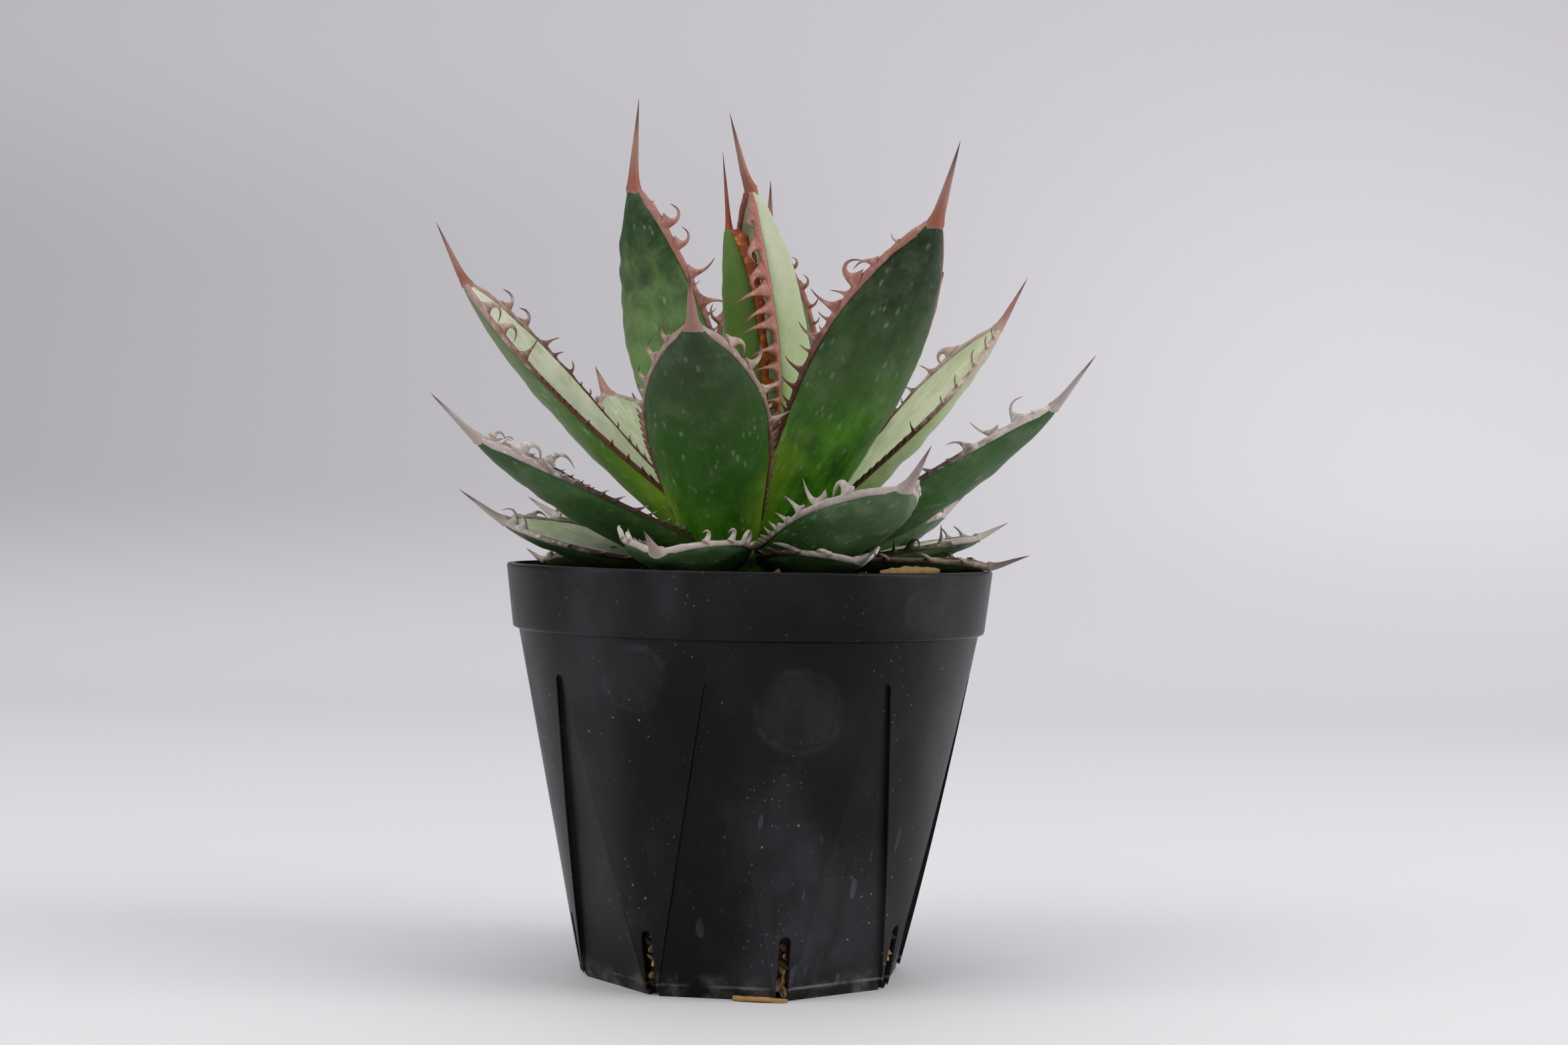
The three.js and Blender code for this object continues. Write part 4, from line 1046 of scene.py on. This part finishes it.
T = Tooth
ROWS = (
    LeafRow(
        "bud", -170, 84, 84, 57, width=7, fold=70, r=2, z=16, spine=17, lift=0, rim=2.6, horn=Horn.ORANGE,
        skin=Skin.BUD,
        minus=(
            T(0.80, 1.6, 40), T(0.62, 2.4, 60), T(0.5, 5.4, 170), T(0.41, 5.2, 170), T(0.32, 5.0, 170),
            T(0.24, 4.0, 150),
        ),
    ),
    LeafRow(
        "heart_right", 30, 70, 120, 72, width=13.5, fold=75, r=3, z=12, turn=8, spine=17, lift=-24,
        horn=Horn.ROSE, skin=Skin.PALE,
        plus=(
            T(0.93, 4.4, 120), T(0.845, 8.2, 125), T(0.76, 9.2, 115), T(0.70, 10.0, 20), T(0.635, 8.6, 40),
            T(0.585, 9.4, 25), T(0.50, 7.2, 30), T(0.44, 6.8, 25), T(0.38, 5.8, 30), T(0.33, 4.4, 30),
            *thorns(0.29, 0.16, 5, 2.2, 1.2),
        ),
        minus=thorns(0.85, 0.2, 13, 2.4, 1.2),
    ),
    LeafRow(
        "heart_back", 88, 62, 88, 66, width=12, z=8, spine=15, lift=4, hook=1,
        horn=Horn.BROWN, skin=Skin.GREY,
        plus=(
            T(0.93, 4.6, 165), T(0.86, 5.0, 150), T(0.79, 3.6, 60), T(0.73, 2.4),
            *thorns(0.68, 0.2, 14, 2.0, 1.2),
        ),
    ),
    LeafRow(
        "upper_left", -146, 45, 88, 81, width=14.5, r=2.5, z=6, turn=-20, twist=22, spine=19, lift=10, hook=1,
        dents=1.5, horn=Horn.BROWN, skin=Skin.TALL,
        plus=(
            T(0.66, 2.5, 60), T(0.62, 2.2, 80), T(0.575, 2.5, 60), T(0.54, 2.0), T(0.50, 2.5),
            *thorns(0.46, 0.2, 9, 2.2, 1.2),
        ),
        minus=(
            T(0.965, 0.9, 20), T(0.905, 7.8, 150), T(0.845, 6.8, 140), T(0.765, 6.9, 50), T(0.735, 1.6, 60),
            T(0.685, 6.2, -35), T(0.65, 2.6, 40), *thorns(0.6, 0.2, 14, 2.4, 1.2),
        ),
    ),
    LeafRow(
        "upper_right", -53, 40, 62, 85, width=14.5, z=4, spine=17, lift=8, hook=1,
        horn=Horn.BROWN, skin=Skin.INNER,
        plus=(
            T(0.935, 2.4, 60), T(0.87, 5.4, -70), T(0.815, 9.0, 165), T(0.775, 3.8, -15), T(0.735, 7.0, 30),
            T(0.70, 3.0, 30), T(0.67, 1.5), T(0.645, 5.6, 40), T(0.605, 2.8, 20), T(0.55, 4.8, 35),
            T(0.50, 4.0, 35), *thorns(0.45, 0.16, 13, 2.8, 1.2),
        ),
        minus=(
            T(0.83, 3.6, 80), T(0.745, 3.2, 80), T(0.715, 2.2, 60), T(0.66, 2.5, 60), T(0.575, 2.4, 20),
            T(0.52, 2.4, 20), *thorns(0.47, 0.18, 10, 2.2, 1.2),
        ),
    ),
    LeafRow(
        "front", -96, 34, 50, 68, width=13.5, at=-143, r=10, z=2, lift=10, hook=1,
        horn=Horn.ASH, skin=Skin.FRONT,
        plus=(
            T(0.93, 4.0, 110), T(0.85, 5.2, 120), T(0.75, 4.2, 100), T(0.70, 2.4), T(0.64, 4.0, 60),
            *thorns(0.59, 0.16, 18, 2.6, 1.2),
        ),
        minus=(
            T(0.915, 7.5, -130), T(0.82, 6.5, 100), T(0.715, 5.7, -10), T(0.645, 1.6), T(0.585, 5.6, -5),
            *thorns(0.52, 0.16, 14, 2.6, 1.2),
        ),
    ),
    LeafRow("back_left", 128, 24, 42, 67, width=15, z=2, spine=9, lift=20, horn=Horn.ASH, skin=Skin.FAR),
    LeafRow(
        "left", 182, 32, 55, 84, width=11.5, fold=34, z=2, twist=20, spine=15, hook=1, horn=Horn.UMBER,
        skin=Skin.SIDE,
        plus=(
            T(0.90, 6.6, 130), T(0.84, 6.3, 140), T(0.765, 5.2, -15), T(0.725, 3.2, -20), T(0.665, 3.8, 70),
            T(0.62, 1.2), T(0.585, 2.0), T(0.53, 1.4), T(0.47, 1.8), *thorns(0.42, 0.2, 8, 2, 1.2),
        ),
        minus=(
            T(0.915, 7.4, -150, rise=1.6), T(0.845, 7.0, -150, rise=1.6), T(0.755, 5.8, 20, rise=1.5),
            *thorns(0.7, 0.56, 8, 0.9, 0.9), T(0.52, 2.4, 0), T(0.44, 2.5, 20), T(0.385, 2.6, 20),
            *thorns(0.33, 0.18, 6, 2.2, 1.4),
        ),
    ),
    LeafRow(
        "right", 2, 40, 54, 69, width=10, fold=30, z=2, twist=-25, spine=13, lift=14, hook=1, horn=Horn.FAWN,
        skin=Skin.LIT,
        plus=(
            T(0.97, 3.0, 40, rise=0.7), T(0.93, 3.6, 60, rise=0.7), T(0.86, 4.4, 60, rise=0.8), T(0.82, 1.6),
            T(0.77, 3.6, 50, rise=0.7), T(0.70, 2.4, 40, rise=0.7), T(0.635, 1.5),
            T(0.575, 3.2, 30, rise=0.7), *thorns(0.53, 0.16, 14, 2.4, 1.4),
        ),
        minus=(
            T(0.86, 8.5, -200), T(0.775, 4.4, -10), T(0.69, 3.8, -20), T(0.64, 1.8), T(0.575, 2.6, -30),
            T(0.505, 2.0, -30), *thorns(0.45, 0.2, 8, 1.8, 1.2),
        ),
    ),
    LeafRow("back_right", 60, 28, 50, 64, r=5, z=2, lift=10, horn=Horn.BROWN, skin=Skin.INNER),
    LeafRow("back_middle", 104, 12, 34, 60, r=6, spine=11, lift=14, horn=Horn.BROWN),
    LeafRow(
        "front_right", -57, 4, 33, 53, width=13.5, fold=34, lift=26, horn=Horn.CHALK, skin=Skin.NEAR,
        plus=(
            T(0.93, 0.9, 20), T(0.855, 9.8, 150, rise=1.8), T(0.765, 10.4, 10, 50, rise=1.6),
            T(0.655, 7.0, 45, 30, rise=1.2), T(0.56, 4.2, 50, 40, rise=0.8), T(0.505, 1.4),
            T(0.465, 3.2, 40, 40, rise=0.8), T(0.40, 2.8, 40, 40, rise=0.8),
            *thorns(0.35, 0.16, 6, 1.8, 1.0),
        ),
        minus=(T(0.97, 7.0, 110, 20), T(0.90, 5.6, 100, 20), T(0.75, 1.4), *thorns(0.6, 0.2, 10, 1.6, 1)),
    ),
    LeafRow(
        "lower_left", -160, 10, 37, 64.5, twist=12, spine=14, lift=10,
        plus=(T(0.96, 5.0, 110, rise=0.6), T(0.92, 3.8, 80, rise=0.6), *thorns(0.8, 0.2, 15, 1.8, 1.4)),
        minus=(
            T(0.95, 3.4, 60, rise=1.6), T(0.885, 9.4, 160, rise=1.7), T(0.80, 9.0, 115, rise=1.5),
            T(0.74, 1.2), T(0.70, 1.5), T(0.66, 1.4), T(0.60, 2.2, 20), T(0.55, 2.8, 30, 10),
            T(0.47, 3.2, 30, 20), T(0.42, 2.6, 30), *thorns(0.37, 0.18, 7, 2.4, 1.4),
        ),
    ),
    LeafRow(
        "lower_right", -20, 16, 43, 70.5, fold=32, twist=-5, spine=14,
        plus=(
            T(0.96, 1.5, 20), T(0.91, 7.0, -120, rise=1.0), T(0.85, 7.0, 10, 45, rise=1.0),
            T(0.755, 5.6, 75, 10, rise=0.9), T(0.69, 1.2), T(0.62, 3.4, 50),
            *thorns(0.56, 0.18, 13, 2.4, 1.3),
        ),
    ),
    LeafRow(
        "front_low", -104, -5, 11, 46, at=-150, r=10, z=1, spine=10, lift=30, horn=Horn.CHALK,
        plus=(
            T(0.87, 5.4, 150, rise=0.5), T(0.76, 5.6, 140, rise=0.5), T(0.655, 5.2, 90, -20, rise=0.5),
            T(0.58, 1.6), T(0.52, 3.2, 40, rise=0.5), *thorns(0.45, 0.2, 7, 2.0, 1.2),
        ),
        minus=(
            T(0.86, 4.8, -140, rise=0.5), T(0.72, 5.4, -140, rise=0.5), T(0.59, 5.2, 110, -30, rise=0.5),
            T(0.50, 3.2, -40, rise=0.5), *thorns(0.43, 0.2, 7, 2.0, 1.2),
        ),
    ),
    LeafRow(
        "left_low", -172, -4, 23, 52, width=11, fold=26, turn=4, twist=14, lift=22,
        plus=(T(0.90, 5.2, 110), T(0.79, 3.8, 20), T(0.66, 3.4, 20), *thorns(0.55, 0.2, 9, 2.0, 1.2)),
        minus=(
            T(0.97, 6.2, -130, rise=1.6), T(0.93, 5.8, -140, rise=1.6), T(0.86, 2.0, 30), T(0.80, 1.2),
            T(0.73, 2.8, 20, -30), T(0.60, 2.4, 30), *thorns(0.5, 0.2, 9, 2.0, 1.2),
        ),
    ),
    LeafRow(
        "right_low", 12, -2, 18, 45.5, width=10.5, fold=18, z=0.5, turn=3, twist=-3, spine=8, horn=Horn.TARRY,
        plus=(
            T(0.82, 3.4, -40, rise=-0.9), T(0.77, 5.3, 0, rise=0.8), T(0.60, 6.0, -200, rise=0.8),
            T(0.52, 3.2, 0, rise=0.8), T(0.45, 1.4, 0, rise=0.8), T(0.39, 1.8, 0, rise=0.8),
            *thorns(0.33, 0.2, 4, 1.6, 1.2),
        ),
        minus=(T(0.96, 3.9, 30, rise=0.8), T(0.90, 3.8, 20, rise=0.8), *thorns(0.8, 0.2, 12, 1.6, 1.2)),
    ),
    LeafRow("back_right_low", 42, 4, 22, 52, width=12.5, r=5, spine=9),
    LeafRow("back_left_low", 150, 3, 20, 50, width=12.5, r=5, spine=9),
    LeafRow("back_low", 80, 3, 14, 46, width=12.5, r=5, spine=9, lift=20),
    LeafRow("right_lowest", -12, -1, 2, 45, width=10.5, fold=18, r=5, z=0.8, spine=9, lift=30, horn=Horn.DRY),
    LeafRow("front_lowest", -62, 1, 6, 39, width=10, fold=30, r=5, spine=6, lift=30),
    LeafRow("left_lowest", 166, 0, 1, 44, width=9, fold=30, r=5, spine=5, lift=60),
)


# ---------------------------------------------------------------- pot
@dataclass(frozen=True)
class Pot:
    """The black slit pot: rim band, round body, eight flat panels and a slit at each corner."""

    rim: float = 52.5
    band_foot: float = 74.0
    body_top: float = 49.7
    foot: float = 35.1
    wall: float = 1.25
    floor: float = 1.6
    sides: int = 8
    panel_turn: float = -8.5
    panel_foot: float = 32.2
    panel_top: float = 47.2
    apex: float = 65.5
    apex_half: float = 1.25
    foot_half: float = 12.4
    slit_turn: float = 14.0
    slit_width: float = 2.5
    slit_height: float = 13.7

    def rows(self) -> Array:
        """Heights of the wall's rows, close together where the shape turns."""
        low = np.array([0, 0.12, 0.4, 1, 2, 3.5])
        body = np.linspace(5, 62, 30)
        apex = np.array([63, 63.7, 64.25, 64.6, 64.9, 65.1, 65.25, 65.36, 65.44, 65.5, 65.56, 66])
        upper = np.linspace(67.5, 73.2, 4)
        step = np.array([73.6, 73.85, 74.0, 74.15, 74.4, 74.6, 74.75, 75.1])
        band = np.linspace(76.5, 86.6, 7)
        lip = np.array([87.2, 87.5, 87.72, 87.88, 87.97, RIM_TOP])
        return np.concatenate([low, body, apex, upper, step, band, lip])

    def radius(self, height: Array) -> Array:
        """The round wall's radius: the body's cone, the band's step and the rounded lip."""
        heights = [0, 0.12, 0.4, 73.85, 74.0, 74.15, 74.4, 74.6, 75.1]
        heights += [87.2, 87.5, 87.72, 87.88, 87.97, RIM_TOP]
        low, high = [self.foot + (self.body_top - self.foot) * z / self.band_foot for z in (0.4, 73.85)]
        step = [49.85, 50.3, 50.8, 50.95, 51.05]
        lip = [self.rim - worn for worn in (0, 0, 0.05, 0.16, 0.3, 0.45)]
        return np.interp(height, heights, [34.75, 35.0, low, high, *step, *lip])

    def panel_half(self, height: Array) -> Array:
        """Half the panel's width: straight sides to the apex, whose top is a half circle."""
        centre = self.apex - self.apex_half
        straight = lerp(self.foot_half, self.apex_half, np.clip(height / centre, 0, 1))
        circle = np.sqrt(np.clip(self.apex_half**2 - np.clip(height - centre, 0, None) ** 2, 0, None))
        return np.maximum(np.where(height > centre, circle, straight), 0.2)

    def outer(self, height: Array) -> Array:
        """The outer wall as (rows, columns, 2) places round the axis.

        Each eighth of the wall is a flat panel, a small step up at each of its edges, and
        the round wall between. A point of the panel is its place across it at the panel's
        distance, and a point of the round wall is at the wall's radius.
        """
        z = height[:, None]
        big = self.radius(z)
        half = self.panel_half(z)
        distance = lerp(self.panel_foot, self.panel_top, z / self.apex)
        distance = np.where(z < self.apex, distance, np.sqrt(big**2 - half**2))
        distance = np.minimum(distance, np.sqrt(big**2 - half**2))
        flat = np.linspace(-1, 1, 9)[None, :] * (half - 0.1)
        panel = vectors(flat, -distance)
        edge = np.arcsin(half / big)
        corner = math.pi / self.sides
        inward = np.array([0.35, 0.12, 0.0])[None, :]
        across = np.array([0.0, 0.0, 0.14])[None, :]
        lower = np.sqrt(big**2 - half**2) - np.minimum(inward, np.sqrt(big**2 - half**2) - distance)
        wall_x, wall_y = half + across, -lower + 0 * across
        share = np.array([0.06, 0.16, 0.3, 0.5, 0.75])[None, :]
        angle = lerp(edge, 0 * edge + corner, share)
        round_x, round_y = big * np.sin(angle), -big * np.cos(angle)
        right = np.concatenate([vectors(wall_x, wall_y), vectors(round_x, round_y)], axis=1)
        left = right[:, ::-1] * np.array([-1.0, 1.0])
        middle = vectors(big * math.sin(corner), -big * math.cos(corner))
        one = np.concatenate([left, panel, right, middle], axis=1)[:, None]
        turns = np.radians(self.panel_turn + np.arange(self.sides) * 360 / self.sides)[:, None]
        return vectors(*turned(one[..., 0], one[..., 1], turns)).reshape(len(height), -1, 2)

    def slots(self) -> Shell:
        """Eight upright bars with rounded tops, which cut the slits."""
        half = self.slit_width / 2
        bend = np.linspace(0, math.pi, 13)
        x = np.concatenate([[-half, half], half * np.cos(bend)])
        z = np.concatenate([[-2, -2], self.slit_height - half + half * np.sin(bend)])
        shell = Shell()
        depth = np.array([27.0, 44.0])[:, None]
        for k in range(self.sides):
            turn = math.radians(self.slit_turn + k * 360 / self.sides)
            rings = vectors(*turned(x, -depth, turn), z)
            shell.add_tubes(rings, rings, rings)
        return shell

    def build(self) -> None:
        """Makes the pot: outer wall up, lip, inner wall down, floor, with the slits cut out."""
        z = self.rows()
        outer = self.outer(z)
        inner_z = np.concatenate([[RIM_TOP, 87.9, 87.6], np.linspace(87, self.floor, 40)])
        inner = self.outer(inner_z)
        size = np.linalg.norm(inner, axis=-1, keepdims=True)
        inner = inner / size * (size - self.wall)
        floor_in = inner[-1:] * np.array([0.66, 0.33])[:, None, None]
        floor_out = outer[:1] * np.array([0.33, 0.66])[:, None, None]
        xy = np.concatenate([floor_out, outer, inner, floor_in])
        heights = np.concatenate([[0.0, 0.0], z, inner_z, [self.floor, self.floor]])
        points = vectors(xy[..., 0], xy[..., 1], heights[:, None])
        shell = Shell()
        shell.add_tubes(points, 0 * points, points)
        plastic = PlasticFinish().material("black_plastic")
        pot = shell.make("pot_wall", plastic)
        cutter = self.slots().make("slots", plastic)
        cut = pot.modifiers.new("slits", "BOOLEAN")
        cut.object = cutter
        cut.solver = "MANIFOLD"
        bevel = pot.modifiers.new("edges", "BEVEL")
        bevel.width = 0.12 * MM
        bevel.segments = 2
        bevel.limit_method = "ANGLE"
        bevel.angle_limit = math.radians(50)
        done = bpy.data.meshes.new_from_object(pot.evaluated_get(bpy.context.evaluated_depsgraph_get()))
        pot.modifiers.clear()
        pot.data = done
        done.shade_smooth()
        done.set_sharp_from_angle(angle=math.radians(38))
        bpy.data.objects.remove(cutter)
        settle(pot, "pot")


# ---------------------------------------------------------------- potting mix
@dataclass(frozen=True)
class Chips:
    """Loose chips of bark, grit and husk, each a small knobbly ball squeezed to its own shape."""

    seed: int = 3

    def add(self, shell: Shell, places: Array, sizes: Array, tint: Array, fibre: Array) -> None:
        """Adds chips at places: coarse balls of five rings of seven, turned and dented at random.

        Args:
            shell: what they are added to.
            places: (n, 3) middles.
            sizes: (n, 3) half lengths along the chip's own axes.
            tint: (n,) how light each one is.
            fibre: (n,) how straw-like each one is.
        """
        draw = np.random.RandomState(self.seed)
        lat = np.linspace(-1.2, 1.2, 5)[:, None]
        lon = around(7)
        rings = vectors(np.cos(lat) * np.cos(lon), np.cos(lat) * np.sin(lon), np.sin(lat))
        count = len(places)
        local = rings[None] * (1 + 0.22 * draw.normal(size=(count, *rings.shape[:2], 1)))
        local = local * sizes[:, None, None, :]
        spin = draw.normal(size=(count, 3, 3))
        axes = np.linalg.qr(spin)[0]
        flatten = draw.uniform(0.15, 0.5, size=(count, 1))
        axes[:, 2] *= flatten
        axes /= np.linalg.norm(axes, axis=1, keepdims=True)
        points = np.einsum("nrkc,ncd->nrkd", local, axes) + places[:, None, None, :]
        mark = vectors(tint, fibre, 0)[:, None, None, :]
        shell.add_tubes(points, mark, local + 13.0 * places[:, None, None, :])


@dataclass(frozen=True)
class Stick:
    """The knobbly stick of bark that lies on the chips at the right, inside the rim."""

    start: tuple[float, float, float] = (26.8, -38.0, 87.9)
    run: tuple[float, float, float] = (12.5, 7.0, 0.5)
    half: float = 1.35

    def add(self, shell: Shell) -> None:
        """Adds the stick: a tube whose half width is a root of a sine along it, with waves."""
        u = np.linspace(0, 1, 60)[:, None]
        t = around(16)
        x, y, z = [a + b * u for a, b in zip(self.start, self.run)]
        knobs = 1 + 0.25 * waves(vectors(20 * u, 0), 7, 41)
        half = self.half * knobs * np.sqrt(np.clip(np.sin(np.pi * lerp(0.04, 0.96, u)), 0, 1))
        ridge = 1 + 0.14 * waves(vectors(x, 1.2 * np.cos(t)), 2.4, 42)
        z = z + 0.85 * half * ridge * np.sin(t)
        points = vectors(x, y + half * ridge * np.cos(t), z)
        shell.add_tubes(points, vectors(0.75, 0.55, 0 * u), vectors(x, 3 * t, z))


@dataclass(frozen=True)
class Soil:
    """The potting mix: a lumpy body to the pot's wall, with chips on its top and in the slits.

    In mm, level is the height of the mound, bed that of the underside, inset the distance
    from the pot's outer wall to the body, reach how far out the chips lie on top and highest
    how high. slit_foot is how far out those in the slits lie at the floor, and slit_slope
    how much farther for each mm up.
    """

    pot: Pot
    level: float = 85.0
    bed: float = 2.2
    inset: float = 2.0
    reach: float = 50.3
    highest: float = 86.6
    top_chips: int = 420
    slit_chips: int = 14
    slit_foot: float = 33.2
    slit_slope: float = 0.19

    def top(self, x: Array, y: Array) -> Array:
        """Height of the mound: a low crown with lumps."""
        share = np.hypot(x, y) / self.pot.rim
        return self.level + 0.6 * (1 - share**2) + 0.5 * waves(vectors(x, y), 9, 21)

    def add_body(self, shell: Shell) -> None:
        """Adds the body: rings that follow the pot's wall, then shrink to the middle of the mound."""
        z = np.linspace(self.bed, self.level - 0.4, 50)
        wall = self.pot.outer(z)
        size = np.linalg.norm(wall, axis=-1, keepdims=True)
        place = vectors(wall[..., 0], wall[..., 1], z[:, None])
        wall = wall / size * (size - self.inset - 0.5 * (1 + waves(place, 7, 22)[..., None]))
        cap = wall[-1:] * np.linspace(0.97, 0.02, 26)[:, None, None]
        side_z = np.broadcast_to(z[:, None], wall.shape[:2])
        heights = np.concatenate([side_z[:1], side_z, self.top(cap[..., 0], cap[..., 1])])
        points = np.concatenate([np.concatenate([wall[:1] * 0.5, wall, cap]), heights[..., None]], axis=-1)
        lightness = 0.25 + 0.25 * waves(points, 5, 23)
        shell.add_tubes(points, vectors(lightness, 0.1, 0), points)

    def add_top_chips(self, shell: Shell, draw: np.random.RandomState) -> None:
        """Adds the chips on the mound, spread evenly over all but its middle."""
        count = self.top_chips
        radius = self.reach * np.sqrt(draw.uniform(0.3, 1, count))
        angle = draw.uniform(0, TURN, count)
        x, y = radius * np.cos(angle), radius * np.sin(angle)
        places = vectors(x, y, np.minimum(self.top(x, y) + 0.3, self.highest))
        long = draw.uniform(0.5, 2.2, count)
        sizes = vectors(long, long * draw.uniform(0.4, 0.8, count), long * 0.3)
        tint = draw.uniform(0, 1, count) ** 2
        fibre = (draw.uniform(0, 1, count) > 0.85) * 0.9
        Chips().add(shell, places, sizes, tint, fibre)

    def add_slit_chips(self, shell: Shell, draw: np.random.RandomState) -> None:
        """Adds the chips that show in the slits, the same number in each, along the sloping wall."""
        slits = self.pot.sides
        count = slits * self.slit_chips
        slit = np.arange(count) % slits
        angle = np.radians(self.pot.slit_turn - 90 + slit * 360 / slits)
        height = draw.uniform(1.5, 13, count)
        reach = self.slit_foot + height * self.slit_slope + draw.uniform(-0.5, 0.3, count)
        sideways = draw.uniform(-0.7, 0.7, count)
        long = draw.uniform(0.5, 1.9, count)
        tint = draw.uniform(0, 1, count)
        fibre = (draw.uniform(0, 1, count) > 0.55) * 1.0
        places = vectors(*turned(reach, sideways, angle), height)
        Chips(seed=5).add(shell, places, vectors(long, long * 0.5, long * 0.35), tint, fibre)

    def build(self) -> None:
        """Makes the mix: its body, its chips and the stick of bark, in one piece."""
        shell = Shell()
        self.add_body(shell)
        draw = np.random.RandomState(8)
        self.add_top_chips(shell, draw)
        self.add_slit_chips(shell, draw)
        Stick().add(shell)
        settle(shell.make("potting_mix", EarthFinish().material("mix"), 40), "soil")


@dataclass(frozen=True)
class HuskSliver:
    """The sliver of husk at the foot of the pot: a flat frayed strip along the front panel."""

    turn: float = -8.5
    distance: float = 32.2
    start: float = 3.6
    end: float = 15.0

    def build(self) -> None:
        """Makes the sliver: its width swells and dips along it, and its top is ridged."""
        u = np.linspace(0, 1, 70)[:, None]
        t = around(18)
        x = lerp(self.start, self.end, u)
        middle = 1.35 + 0.35 * u + 0.1 * np.sin(9 * u)
        ends = np.sqrt(np.clip(np.sin(np.pi * lerp(0.06, 0.97, u)), 0, 1))
        half = (0.95 - 0.5 * smooth(u, 0.55, 0.9)) * ends
        ridge = 1 + 0.12 * waves(vectors(x, 0.4 * np.cos(t)), 2.2, 31)
        y = -self.distance - middle + half * np.cos(t) * ridge
        z = 0.6 + 0.55 * np.sin(t) * ridge * (1 - 0.3 * u)
        points = vectors(*turned(x, y, math.radians(self.turn)), z)
        shell = Shell()
        shell.add_tubes(points, vectors(0.7, 1, 0 * u), vectors(x, 3 * t, z))
        finish = EarthFinish(light="b58d60", straw="c79b66")
        settle(shell.make("husk", finish.material("husk_fibre")), "husk_sliver")


# ---------------------------------------------------------------- studio
@dataclass(frozen=True)
class Light:
    """One soft box: place and aim in metres, size, power and tint."""

    name: str
    place: tuple[float, float, float]
    aim: tuple[float, float, float]
    size: tuple[float, float]
    power: float
    tint: tuple[float, float, float] = (1.0, 0.98, 0.94)


@dataclass(frozen=True)
class Studio:
    """The sweep, the soft boxes and the camera at the photograph's angle."""

    eye: tuple[float, float, float] = (7.2, -546.0, 100.0)
    pitch: float = -0.25
    roll: float = 1.1
    lens: float = 57.7
    lights: tuple[Light, ...] = (
        Light("key_left", (-0.9, -0.7, 1.3), (0, 0, 0.1), (1.0, 1.0), 9.0),
        Light("fill_right", (1.1, -0.4, 0.9), (0, 0, 0.1), (0.9, 0.9), 8.0),
        Light("top", (0.0, 0.1, 1.5), (0, 0, 0.0), (1.2, 1.2), 7.0),
        Light("strip_left", (-1.1, -0.35, 0.3), (0, 0, 0.05), (0.25, 0.7), 1.6),
        Light("strip_right", (1.15, -0.15, 0.3), (0, 0, 0.05), (0.3, 0.7), 3.2),
    )

    def camera(self) -> None:
        """Adds the camera: level look along +Y, tipped by the pitch, then rolled about its axis."""
        data = bpy.data.cameras.new("camera")
        data.lens = self.lens
        data.sensor_width = 36.0
        data.clip_start = 0.01
        made = bpy.data.objects.new("camera", data)
        tip = Matrix.Rotation(math.radians(90 + self.pitch), 4, "X")
        roll = Matrix.Rotation(math.radians(self.roll), 4, "Z")
        bpy.context.scene.collection.objects.link(made)
        made.matrix_world = Matrix.Translation([value * MM for value in self.eye]) @ tip @ roll
        bpy.context.scene.camera = made

    def sweep(self) -> None:
        """Adds the floor that curves up into the backdrop: a line, a quarter circle, a line."""
        bend = np.linspace(0, math.pi / 2, 24)
        reach, radius = 0.7, 0.6
        y = np.concatenate([[-1.6, -0.5, 0.0, 0.4], reach + radius * np.sin(bend), [reach + radius]])
        z = np.concatenate([[0, 0, 0, 0], radius * (1 - np.cos(bend)), [2.6]])
        x = np.linspace(-2.6, 2.6, 14)
        points = vectors(x[None], y[:, None], z[:, None])
        rows, columns = points.shape[:2]
        ids = np.arange(rows * columns).reshape(rows, columns)
        faces = np.stack([ids[:-1, :-1], ids[:-1, 1:], ids[1:, 1:], ids[1:, :-1]], axis=-1).reshape(-1, 4)
        mesh = bpy.data.meshes.new("sweep")
        mesh.from_pydata(points.reshape(-1, 3).tolist(), [], faces.tolist())
        mesh.shade_smooth()
        mesh.materials.append(SweepFinish().material("pale_card"))
        made = bpy.data.objects.new("sweep", mesh)
        bpy.context.scene.collection.objects.link(made)

    def lamp(self, light: Light) -> None:
        """Adds one soft box, its -Z axis turned to its aim."""
        data = bpy.data.lights.new(light.name, "AREA")
        data.shape = "RECTANGLE"
        data.size, data.size_y = light.size
        data.energy = light.power
        data.color = light.tint
        made = bpy.data.objects.new(light.name, data)
        back = np.array(light.place) - np.array(light.aim)
        back /= np.linalg.norm(back)
        right = np.cross([0, 1, 0] if abs(back[2]) > 0.95 else [0, 0, 1], back)
        right /= np.linalg.norm(right)
        matrix = np.eye(4)
        matrix[:3, :3] = np.stack([right, np.cross(back, right), back], axis=1)
        matrix[:3, 3] = light.place
        bpy.context.scene.collection.objects.link(made)
        made.matrix_world = Matrix(matrix.tolist())

    def build(self) -> None:
        """Makes the whole studio."""
        self.camera()
        self.sweep()
        for light in self.lights:
            self.lamp(light)
        world = bpy.data.worlds.new("studio")
        world.use_nodes = True
        background = world.node_tree.nodes["Background"]
        background.inputs["Color"].default_value = linear("e8e6e4")
        background.inputs["Strength"].default_value = 0.5
        bpy.context.scene.world = world
        bpy.context.scene.view_settings.view_transform = "Standard"
        log.info("studio: %d soft boxes", len(self.lights))


def main() -> None:
    """Builds the studio, the pot and the plant, and logs each piece's face count."""
    logging.basicConfig(level=logging.INFO, format="%(name)s: %(message)s")
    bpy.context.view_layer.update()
    Studio().build()
    pot = Pot()
    pot.build()
    Soil(pot).build()
    HuskSliver().build()
    stem = Stem()
    stem.build()
    for number, row in enumerate(ROWS):
        Leaf(row, number, stem).build()


if __name__ == "__main__":
    main()
